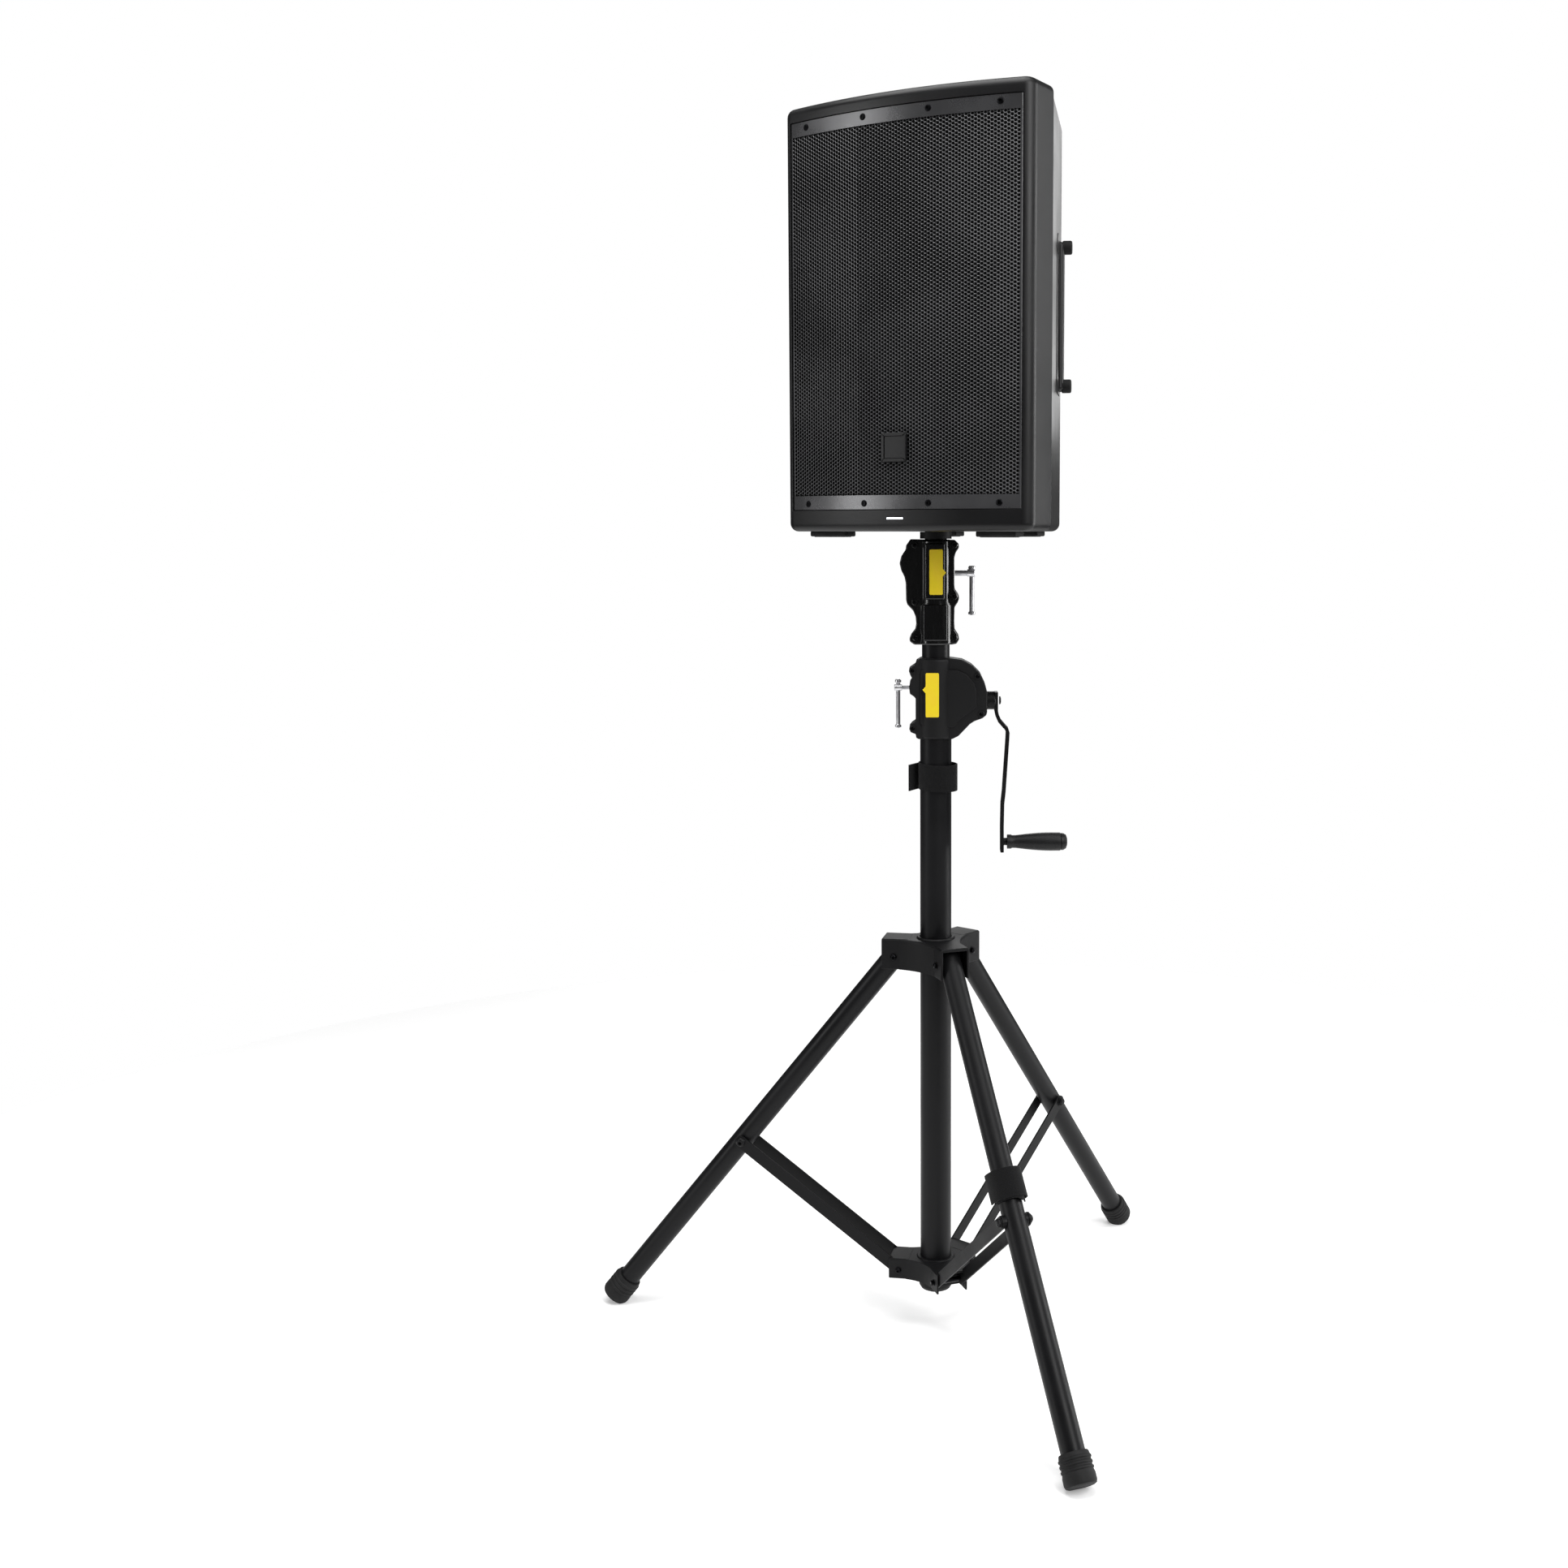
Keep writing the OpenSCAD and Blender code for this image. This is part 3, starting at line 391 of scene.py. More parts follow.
def makeFinishes():
    colours = {entry["slot"]: tuple(entry["base_color"]) for entry in frame["record"]["materials"]}
    makers = {
        "tube_paint": (powderCoat, 0.40),
        "bracket_paint": (powderCoat, 0.46),
        "black_screws": (brightMetal, 0.36),
        "soft_rubber": (softRubber, 0.70),
        "winch_plastic": (mouldedPlastic, 0.56, 0.25),
        "clamp_plastic": (glossPlastic, 0.17),
        "gear_steel": (brightMetal, 0.30),
        "bright_chrome": (brightMetal, 0.34),
        "grip_plastic": (mouldedPlastic, 0.46, 0.3),
        "cabinet_plastic": (mouldedPlastic, 0.38, 0.32),
        "grille_paint": (powderCoat, 0.26, 1.0, 0.45),
        "driver_frame": (powderCoat, 0.50),
        "surround_rubber": (softRubber, 0.60),
        "magnet_iron": (castMetal, 0.55),
        "horn_plastic": (mouldedPlastic, 0.50),
        "amp_alloy": (castMetal, 0.42),
        "panel_paint": (powderCoat, 0.44),
        "jack_plastic": (mouldedPlastic, 0.40),
        "knob_plastic": (mouldedPlastic, 0.48),
    }
    plain = {
        "strap_webbing": webbing, "light_diffuser": lampFinish, "cone_paper": conePaper,
        "label_print": labelPrint, "grille_cloth": clothFinish,
    }
    for slot, colour in colours.items():
        if max(colour) < 0.12:
            colours[slot] = tuple(part * blackness for part in colour)
    colours["grille_paint"] = (0.06, 0.06, 0.063)      # seen by its sheen
    made = {slot: maker(slot, colours[slot], *looks) for slot, (maker, *looks) in makers.items()}
    made.update({slot: maker(slot, colours[slot]) for slot, maker in plain.items()})
    return made


# mesh helpers: each gives back a closed mesh in millimetres

def closed(bm):
    bmesh.ops.remove_doubles(bm, verts=bm.verts, dist=0.002)
    bmesh.ops.recalc_face_normals(bm, faces=bm.faces)
    return bm


def moved(bm, *moves):
    for move in moves:
        bm.transform(move)
    if any(move.determinant() < 0 for move in moves):
        bmesh.ops.recalc_face_normals(bm, faces=bm.faces)
    return bm


def shift(x=0, y=0, z=0):
    return Matrix.Translation((x, y, z))


def joined(*parts):
    whole = bmesh.new()
    for part in parts:
        mesh = bpy.data.meshes.new("part")
        part.to_mesh(mesh)
        part.free()
        whole.from_mesh(mesh)
        bpy.data.meshes.remove(mesh)
    return whole


def soften(bm, edges, width, segments=3):
    bmesh.ops.bevel(
        bm, geom=list(edges), offset=width, offset_type="OFFSET", affect="EDGES",
        segments=segments, profile=0.5, material=-1, clamp_overlap=True)


def roundOff(bm, verts, radius, segments=5):
    bmesh.ops.bevel(
        bm, geom=list(verts), offset=radius, offset_type="OFFSET", affect="VERTICES",
        segments=segments, profile=0.5, material=-1, clamp_overlap=True)


def turned(profile, steps=40):
    # a profile of radius and height, spun about Z
    bm = bmesh.new()
    points = [bm.verts.new((radius, 0, height)) for radius, height in profile]
    lines = [bm.edges.new(pair) for pair in zip(points, points[1:])]
    bmesh.ops.spin(
        bm, geom=points + lines, cent=(0, 0, 0), axis=(0, 0, 1), angle=2 * math.pi,
        steps=steps, use_merge=True)
    return closed(bm)


def rod(radius, low, high, edge=0.6, steps=32):
    # a round bar along Z with softened ends
    edge = min(edge, radius * 0.6)
    return turned([
        (0, low), (radius - edge, low), (radius - edge * 0.3, low + edge * 0.3), (radius, low + edge),
        (radius, high - edge), (radius - edge * 0.3, high - edge * 0.3), (radius - edge, high), (0, high),
    ], steps)


def domeHead(radius, height, socket=0.5, steps=24):
    # a button head standing on Z = 0, with a drive socket in its crown
    rim = [(radius * math.cos(a), height * math.sin(a)) for a in (0.25, 0.6, 0.95, 1.2)]
    inner = radius * socket
    return turned([
        (0, -1), (radius, -1), (radius, 0), *rim, (inner + 0.2, height * 0.97),
        (inner, height * 0.85), (inner * 0.92, height * 0.25), (0, height * 0.2),
    ], steps)


def threaded(radius, low, high, pitch=1.5):
    turns = int((high - low) / pitch)
    crests = []
    for k in range(turns):
        foot = low + k * pitch
        crests += [(radius - 0.55, foot), (radius, foot + pitch * 0.4), (radius, foot + pitch * 0.6)]
    last = low + turns * pitch
    shank = [(radius - 0.55, last), (radius - 0.55, high), (0, high)]
    return turned([(0, low), *crests, *shank], 28)


def block(low, high, edge=1.0, segments=3):
    low, high = Vector(low), Vector(high)
    bm = bmesh.new()
    bmesh.ops.create_cube(bm, size=1)
    bmesh.ops.scale(bm, vec=high - low, verts=bm.verts)
    bmesh.ops.translate(bm, vec=(low + high) / 2, verts=bm.verts)
    if edge:
        soften(bm, bm.edges, edge, segments)
    return closed(bm)


def largest(faces):
    return max(faces, key=lambda face: face.calc_area())


def pushOut(bm, faces, step):
    # extrudes faces by a step and gives back the moved vertices
    made = bmesh.ops.extrude_face_region(bm, geom=list(faces))
    far = [part for part in made["geom"] if isinstance(part, bmesh.types.BMVert)]
    bmesh.ops.translate(bm, vec=step, verts=far)
    return far


def flatEdges(bm, front, back):
    # the rims of a plate's two flat sides
    def lies(edge, y):
        return all(abs(vert.co.y - y) < 0.01 for vert in edge.verts)

    def isRim(edge):
        normals = [face.normal for face in edge.link_faces]
        return len(normals) == 2 and abs(normals[0].dot(normals[1])) < 0.7
    return [edge for edge in bm.edges if (lies(edge, front) or lies(edge, back)) and isRim(edge)]


def plate(outline, front, back, corner=0, edge=0, segments=3, cornerSegments=5):
    # an outline in X and Z, its corners rounded, given a thickness along Y
    bm = bmesh.new()
    bm.faces.new([bm.verts.new((x, front, z)) for x, z in outline])
    if corner:
        roundOff(bm, bm.verts, corner, cornerSegments)
    pushOut(bm, bm.faces, (0, back - front, 0))
    closed(bm)
    if edge:
        soften(bm, flatEdges(bm, front, back), edge, segments)
    return closed(bm)


def ring(x, z, radius, steps=32):
    turn = 2 * math.pi / steps
    return [(x + radius * math.cos(k * turn), z + radius * math.sin(k * turn)) for k in range(steps)]


def roundedRing(x0, z0, x1, z1, radius, steps=6):
    # a rectangle with round corners, anticlockwise
    corners = ((x1 - radius, z0 + radius, -90), (x1 - radius, z1 - radius, 0),
               (x0 + radius, z1 - radius, 90), (x0 + radius, z0 + radius, 180))
    points = []
    for x, z, start in corners:
        for k in range(steps + 1):
            a = math.radians(start + 90 * k / steps)
            points.append((x + radius * math.cos(a), z + radius * math.sin(a)))
    return points


def addLoop(bm, points):
    verts = [bm.verts.new(point) for point in points]
    return [bm.edges.new(pair) for pair in zip(verts, verts[1:] + verts[:1])]


def holedPlate(outline, holes, front, back, edge=0, segments=2):
    bm = bmesh.new()
    for loop in [outline, *holes]:
        addLoop(bm, [(x, front, z) for x, z in loop])
    bmesh.ops.triangle_fill(bm, edges=list(bm.edges), use_beauty=True)
    bmesh.ops.dissolve_limit(bm, angle_limit=0.01, verts=bm.verts, edges=bm.edges)
    pushOut(bm, bm.faces, (0, back - front, 0))
    closed(bm)
    if edge:
        soften(bm, flatEdges(bm, front, back), edge, segments)
    return closed(bm)


def punch(bm, face, *loops):
    # fills a flat face again around holes in it
    edges = list(face.edges)
    bmesh.ops.delete(bm, geom=[face], context="FACES_ONLY")
    for loop in loops:
        edges += addLoop(bm, loop)
    bmesh.ops.triangle_fill(bm, edges=edges, use_beauty=True)


def cutHalf(bm, keepFront, groove=0.5):
    # one half of a split case: cut at Y = 0, closed, its edge softened to show the parting line
    side = 1 if keepFront else -1
    geometry = list(bm.verts) + list(bm.edges) + list(bm.faces)
    bmesh.ops.bisect_plane(bm, geom=geometry, plane_co=(0, 0, 0), plane_no=(0, side, 0), clear_outer=True)
    openEdges = [edge for edge in bm.edges if edge.is_boundary]
    bmesh.ops.holes_fill(bm, edges=openEdges, sides=0)
    closed(bm)
    rim = [edge for edge in bm.edges if all(abs(vert.co.y) < 0.001 for vert in edge.verts)]
    soften(bm, rim, groove, 1)
    return bm


def ribbon(path, thickness, width, edge=0.8):
    # a flat strip bent along a path in X and Z, its width along Y
    bm = bmesh.new()
    verts = [bm.verts.new((x, -width / 2, z)) for x, z in path]
    lines = [bm.edges.new(pair) for pair in zip(verts, verts[1:])]
    made = bmesh.ops.extrude_edge_only(bm, edges=lines)
    far = [part for part in made["geom"] if isinstance(part, bmesh.types.BMVert)]
    bmesh.ops.translate(bm, vec=(0, width, 0), verts=far)
    bmesh.ops.recalc_face_normals(bm, faces=bm.faces)
    bmesh.ops.solidify(bm, geom=list(bm.faces), thickness=thickness)
    closed(bm)
    sharp = [rim for rim in bm.edges if rim.calc_face_angle(0) > 1.2]
    soften(bm, sharp, edge, 2)
    return closed(bm)


def makePiece(name, bm, place, body, slot, stands=(), sharp=34, weighted=True, wall=0):
    moved(bm, place)
    bm.edges.index_update()
    rims = [edge.index for edge in bm.edges if edge.is_boundary]
    mesh = bpy.data.meshes.new(name)
    bm.to_mesh(mesh)
    bm.free()
    mesh.materials.append(finishes[slot])
    mesh.shade_smooth()
    mesh.set_sharp_from_angle(angle=math.radians(sharp))
    for index in rims:
        mesh.edges[index].use_edge_sharp = True
    piece = bpy.data.objects.new(name, mesh)
    bpy.context.scene.collection.objects.link(piece)
    if wall:
        thicken = piece.modifiers.new("wall", "SOLIDIFY")
        thicken.thickness = wall / 1000
        thicken.offset = -1
    if weighted:
        smooth = piece.modifiers.new("evenShading", "WEIGHTED_NORMAL")
        smooth.keep_sharp = True
    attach(piece, body)
    if stands:
        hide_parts(*stands)
    return piece


# cabinet

boxLow, boxTop = heights("front_shell")
halfWide = (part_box("front_shell")[1].x - mastFoot.x) * 1000
frontY = (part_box("front_shell")[0].y - mastFoot.y) * 1000
backY = (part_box("rear_shell")[1].y - mastFoot.y) * 1000

cabinet = {
    "bow": 25, "frontCorner": 15, "seamY": -30, "rearStep": 2.5, "sideTurn": 22.65, "rearCorner": 16,
    "rim": 13, "wall": 5, "windowSide": 13.5, "trimLow": 33, "trimTop": 24,
    "baffleY": -75, "baffle": 8, "woofer": 178, "wooferUp": 235,
    "hornWide": 165, "hornTall": 88, "hornUp": 535,
}
bowRadius = ((halfWide - 12) ** 2 + cabinet["bow"] ** 2) / (2 * cabinet["bow"])
windowLow = boxLow + cabinet["trimLow"]
windowTop = boxTop - cabinet["trimTop"]
windowHalf = halfWide - cabinet["windowSide"]
seamHalf = halfWide - cabinet["rearStep"]
sideTurn = math.radians(cabinet["sideTurn"])


def bowAt(x):
    return frontY + bowRadius - math.sqrt(bowRadius ** 2 - x ** 2)


def rimEdges(bm, apartFrom):
    # the top and bottom rims of an upright shell, apart from one plane in Y
    def isRim(edge):
        a, b = edge.verts
        level = abs(a.co.z - b.co.z) < 0.01 and min(abs(a.co.z - boxLow), abs(a.co.z - boxTop)) < 0.01
        return level and not all(abs(vert.co.y - apartFrom) < 0.01 for vert in edge.verts)
    return [edge for edge in bm.edges if isRim(edge)]


def frontShell():
    seam, steps = cabinet["seamY"], 26
    bm = bmesh.new()
    xs = [-halfWide + 2 * halfWide * k / steps for k in range(steps + 1)]
    outline = [bm.verts.new((x, bowAt(x), boxLow)) for x in xs]
    corners = [outline[0], outline[-1]]
    outline += [bm.verts.new((halfWide, seam, boxLow)), bm.verts.new((-halfWide, seam, boxLow))]
    bm.faces.new(outline)
    roundOff(bm, corners, cabinet["frontCorner"], 7)
    pushOut(bm, bm.faces, (0, 0, boxTop - boxLow))
    closed(bm)
    soften(bm, rimEdges(bm, seam), cabinet["rim"], 6)
    closed(bm)
    # the grille's window, with walls back to the seam
    for point, normal in (((windowHalf, 0, 0), (1, 0, 0)), ((-windowHalf, 0, 0), (1, 0, 0)),
                          ((0, 0, windowLow), (0, 0, 1)), ((0, 0, windowTop), (0, 0, 1))):
        geometry = list(bm.verts) + list(bm.edges) + list(bm.faces)
        bmesh.ops.bisect_plane(bm, geom=geometry, plane_co=point, plane_no=normal)
    inside = []
    for face in bm.faces:
        middle = face.calc_center_median()
        if face.normal.y < -0.5 and abs(middle.x) < windowHalf and windowLow < middle.z < windowTop:
            inside.append(face)
    behind = [face for face in bm.faces if face.normal.y > 0.99]
    bmesh.ops.delete(bm, geom=inside + behind, context="FACES")
    window = [edge for edge in bm.edges if edge.is_boundary and edge.verts[0].co.y < seam - 1]
    made = bmesh.ops.extrude_edge_only(bm, edges=window)
    for part in made["geom"]:
        if isinstance(part, bmesh.types.BMVert):
            part.co.y = seam
    bmesh.ops.remove_doubles(bm, verts=bm.verts, dist=0.002)
    rims = [edge for edge in bm.edges if edge.is_boundary]
    bmesh.ops.triangle_fill(bm, edges=rims, use_beauty=True)
    closed(bm)
    corner = [edge for edge in bm.edges if edge.calc_face_angle(0) > 1.1
              and all(abs(v.co.x) <= windowHalf + 0.01 and v.co.y < seam - 1 for v in edge.verts)
              and (abs(edge.verts[0].co.z - edge.verts[1].co.z) > 50
                   or abs(edge.verts[0].co.y - edge.verts[1].co.y) < 5)]
    soften(bm, corner, 1.2, 2)
    closed(bm)
    baffleY = cabinet["baffleY"]
    baffle = holedPlate(
        roundedRing(-windowHalf - 2, windowLow - 2, windowHalf + 2, windowTop + 2, 1, 1),
        [ring(0, boxLow + cabinet["wooferUp"], cabinet["woofer"], 72),
         roundedRing(-cabinet["hornWide"], boxLow + cabinet["hornUp"] - cabinet["hornTall"],
                     cabinet["hornWide"], boxLow + cabinet["hornUp"] + cabinet["hornTall"], 4, 3)],
        baffleY, baffleY + cabinet["baffle"])
    return joined(bm, baffle)


handle = {
    "s0": 140, "s1": 240, "up0": 218, "up1": 467, "corner": 26, "gap": 1.0, "proud": 1.2,
    "slot0": 155, "slot1": 197, "slotEnd": 27, "slotCorner": 15, "depth": 46, "draft": 0.82,
    "bar0": 199, "bar1": 228, "barEnd": 6, "barOut": 11, "barRound": 9,
    "bumperS": 214, "bumperEnd": 15, "bumperRadius": 11, "bumperOut": 20,
}


def sideFrame(side):
    # X points out of the cabinet's side, Y runs back from the seam, mirrored on the left
    onSeam = shift(seamHalf, cabinet["seamY"]) @ Matrix.Rotation(sideTurn, 4, "Z")
    return Matrix.Scale(side, 4, (1, 0, 0)) @ onSeam


amp = {
    "half": 80, "low": 50, "high": 290, "rim": 3, "floor": 20,
    "jacks": ((-48, 190), (0, 190), (48, 190), (-48, 146)), "jackRadius": 11,
    "knobs": (-20, 28), "knobUp": 146, "inlet": (18, 20, 34, 28), "switch": (-32, 34, 16, 22),
    "fins": 13, "finsLow": 70, "finsTop": 128,
}


def rearShell():
    seam, reach = cabinet["seamY"], backY - cabinet["seamY"]
    rearHalf = seamHalf - math.tan(sideTurn) * reach
    bm = bmesh.new()
    outline = ((seamHalf, seam), (rearHalf, backY), (-rearHalf, backY), (-seamHalf, seam))
    verts = [bm.verts.new((x, y, boxLow)) for x, y in outline]
    bm.faces.new(verts)
    roundOff(bm, verts[1:3], cabinet["rearCorner"], 7)
    pushOut(bm, bm.faces, (0, 0, boxTop - boxLow))
    closed(bm)
    soften(bm, rimEdges(bm, seam), cabinet["rim"], 6)
    closed(bm)
    openFaces = [face for face in bm.faces if face.normal.y < -0.99]
    bmesh.ops.delete(bm, geom=openFaces, context="FACES")
    # the handles' windows and the amplifier's
    gap, corner = handle["gap"], handle["corner"]
    for side in (1, -1):
        place = sideFrame(side)
        outwards = (place.to_3x3() @ Vector((1, 0, 0))).normalized()
        wall = largest(face for face in bm.faces if face.normal.dot(outwards) > 0.99)
        loop = roundedRing(handle["s0"] - gap, boxLow + handle["up0"] - gap,
                           handle["s1"] + gap, boxLow + handle["up1"] + gap, corner + gap)
        punch(bm, wall, [place @ Vector((0, s, z)) for s, z in loop])
    wall = largest(face for face in bm.faces if face.normal.y > 0.99)
    loop = roundedRing(-amp["half"], boxLow + amp["low"], amp["half"], boxLow + amp["high"], 5)
    punch(bm, wall, [(x, backY, z) for x, z in loop])
    # the opening for the pole's socket
    floor = largest(face for face in bm.faces if face.normal.z < -0.99)
    punch(bm, floor, [(x, y, boxLow) for x, y in ring(0, 0, 22)])
    roof = largest(face for face in bm.faces if face.normal.z > 0.99)
    punch(bm, roof, *[[(x, y, boxTop) for x, y in ring(side * 140, 30, 9, 24)] for side in (1, -1)])
    return closed(bm)


def handleShape(side):
    low, high = boxLow + handle["up0"], boxLow + handle["up1"]
    slotLow, slotHigh = low + handle["slotEnd"], high - handle["slotEnd"]
    # drawn in X (along the side) and Z, with -Y pointing out of the cabinet, then laid on the side
    slot = roundedRing(handle["slot0"], slotLow, handle["slot1"], slotHigh, handle["slotCorner"])
    skin = holedPlate(
        roundedRing(handle["s0"], low, handle["s1"], high, handle["corner"]), [slot],
        -handle["proud"], 3, 0.9, 2)
    # the cup behind the slot
    cup = bmesh.new()
    edges = addLoop(cup, [(x, 1.5, z) for x, z in slot])
    for depth, size in ((handle["depth"] * 0.5, 0.93), (handle["depth"], handle["draft"])):
        made = bmesh.ops.extrude_edge_only(cup, edges=edges)
        far = [part for part in made["geom"] if isinstance(part, bmesh.types.BMVert)]
        edges = [part for part in made["geom"] if isinstance(part, bmesh.types.BMEdge)
                 and all(vert in far for vert in part.verts)]
        middle = Vector(((handle["slot0"] + handle["slot1"]) / 2, 0, (slotLow + slotHigh) / 2))
        for vert in far:
            away = vert.co - middle
            vert.co = Vector((middle.x + away.x * size, depth, middle.z + away.z * size))
    bmesh.ops.contextual_create(cup, geom=edges)
    bmesh.ops.recalc_face_normals(cup, faces=cup.faces)
    bmesh.ops.solidify(cup, geom=list(cup.faces), thickness=-2)
    closed(cup)
    # the hand bar, a round-edged rib between two ramps
    bar = block((handle["bar0"], -handle["barOut"], low + handle["barEnd"]),
                (handle["bar1"], 2, high - handle["barEnd"]), handle["barRound"], 6)
    for vert in bar.verts:
        nearEnd = min(vert.co.z - low, high - vert.co.z)
        vert.co.y += max(0, 1 - nearEnd / 26) * 6
    lay = Matrix(((0, -1, 0, 0), (1, 0, 0, 0), (0, 0, 1, 0), (0, 0, 0, 1)))
    return moved(joined(skin, cup, bar), lay, sideFrame(side))


def bumpers():
    low, high = boxLow + handle["up0"], boxLow + handle["up1"]
    parts = []
    for side in (1, -1):
        for z in (low + handle["bumperEnd"], high - handle["bumperEnd"]):
            pad = rod(handle["bumperRadius"], 0, handle["bumperOut"] - 4, 2.5, 36)
            parts.append(moved(pad, alongX, shift(4, handle["bumperS"], z), sideFrame(side)))
    return parts


def cabinetFeet():
    # two wide pads in front, two small ones behind, each with three ribs
    parts = []
    for side in (1, -1):
        for x, y, wide, deep in ((150, -82, 68, 30), (76, 165, 40, 30)):
            middle = side * x
            low = (middle - wide / 2, y, boxLow - 8)
            parts.append(block(low, (middle + wide / 2, y + deep, boxLow + 1), 2.5, 3))
            for k in range(3):
                ribY = y + 5 + k * 8
                parts.append(block((middle - wide / 2 + 5, ribY, boxLow - 8.8),
                                   (middle + wide / 2 - 5, ribY + 3, boxLow - 6), 0.6, 2))
    return parts


badge = {"size": 44, "up": 127, "front": -4, "back": 1.4, "border": 5, "deep": 1.8, "corner": 3}
lightBar = {"half": 14.5, "low": 18.5, "high": 21.5}


def badgeShape():
    half, up = badge["size"] / 2, boxLow + badge["up"]
    front, back = frontY + badge["front"], frontY + badge["back"]
    bm = plate([(-half, up - half), (half, up - half), (half, up + half), (-half, up + half)],
               front, back, badge["corner"], 1.0)
    face = largest(face for face in bm.faces if face.normal.y < -0.99)
    bmesh.ops.inset_region(bm, faces=[face], thickness=badge["border"] - 1)
    bmesh.ops.inset_region(bm, faces=[face], thickness=0.5, depth=-badge["deep"])
    bmesh.ops.inset_region(bm, faces=[face], thickness=1.2)
    bmesh.ops.inset_region(bm, faces=[face], thickness=0.4, depth=0.5)
    return closed(bm)


# grille

grille = {
    "pitch": 5.75, "hole": 2.12, "thick": 1.3, "front": 1.5, "edge": 1.0,
    "crown": 0.45, "marginSide": 3.5, "marginEnd": 17, "fold": 3, "foldBack": 13,
    "screwXs": (-170, -57, 57, 170), "screwIn": 9, "screwHead": 5.2,
}
grilleLow, grilleHigh = windowLow + grille["edge"], windowTop - grille["edge"]
grilleHalf = windowHalf - grille["edge"]


def bent(bm, front):
    # lays a flat sheet on the bulging front
    for vert in bm.verts:
        vert.co.y += bowAt(vert.co.x) + front
    return bm


def spread(bm, count, step):
    # doubles all that there is until it stands count times in a row, then drops the rest
    direction = step.normalized()
    last = max(vert.co.dot(direction) for vert in bm.verts) + (count - 1) * step.length + 0.01
    stand = 1
    while stand < count:
        made = bmesh.ops.duplicate(bm, geom=list(bm.verts) + list(bm.edges) + list(bm.faces))
        far = [part for part in made["geom"] if isinstance(part, bmesh.types.BMVert)]
        bmesh.ops.translate(bm, vec=step * stand, verts=far)
        stand *= 2
    beyond = {face for vert in bm.verts if vert.co.dot(direction) > last for face in vert.link_faces}
    loose = {vert for face in beyond for vert in face.verts}
    bmesh.ops.delete(bm, geom=list(loose), context="VERTS")


def cellBlock(columns, rows):
    # a lattice of six-sided cells that share their edges, each with a hole in it
    pitch = grille["pitch"]
    step = pitch * math.sqrt(3) / 2
    bm = bmesh.new()
    bmesh.ops.create_circle(bm, cap_ends=True, segments=6, radius=pitch / math.sqrt(3))
    bmesh.ops.rotate(bm, verts=bm.verts, matrix=Matrix.Rotation(math.pi / 2, 3, "Z"))
    face = bm.faces[:][0]
    bmesh.ops.inset_region(bm, faces=[face], thickness=pitch / 2 - grille["hole"], use_boundary=True)
    for vert in face.verts:
        vert.co.z -= grille["crown"]
    bmesh.ops.delete(bm, geom=[face], context="FACES_ONLY")
    spread(bm, rows, Vector((0, pitch, 0)))
    made = bmesh.ops.duplicate(bm, geom=list(bm.verts) + list(bm.edges) + list(bm.faces))
    far = [part for part in made["geom"] if isinstance(part, bmesh.types.BMVert)]
    bmesh.ops.translate(bm, vec=(step, pitch / 2, 0), verts=far)
    spread(bm, columns // 2, Vector((2 * step, 0, 0)))
    return bm


def grilleColumns():
    step = grille["pitch"] * math.sqrt(3) / 2
    return step, int((2 * (grilleHalf - grille["marginSide"])) / step) // 2 * 2


def grilleMesh(lower):
    # one half of the perforated sheet, stood up, bent to the bow and thickened
    pitch = grille["pitch"]
    step, columns = grilleColumns()
    rows = int((grilleHigh - grilleLow - 2 * grille["marginEnd"]) / pitch) // 2
    bm = cellBlock(columns, rows)
    middle = (grilleLow + grilleHigh) / 2
    start = middle - rows * pitch + pitch / 2 if lower else middle + pitch / 2
    across = Matrix.Translation((-(columns - 1) * step / 2, 0, start - pitch / 4))
    moved(bm, faceFront, across)
    bmesh.ops.remove_doubles(bm, verts=bm.verts, dist=0.01)
    pushOut(bm, bm.faces, (0, grille["thick"], 0))
    closed(bm)
    return bent(bm, grille["front"])


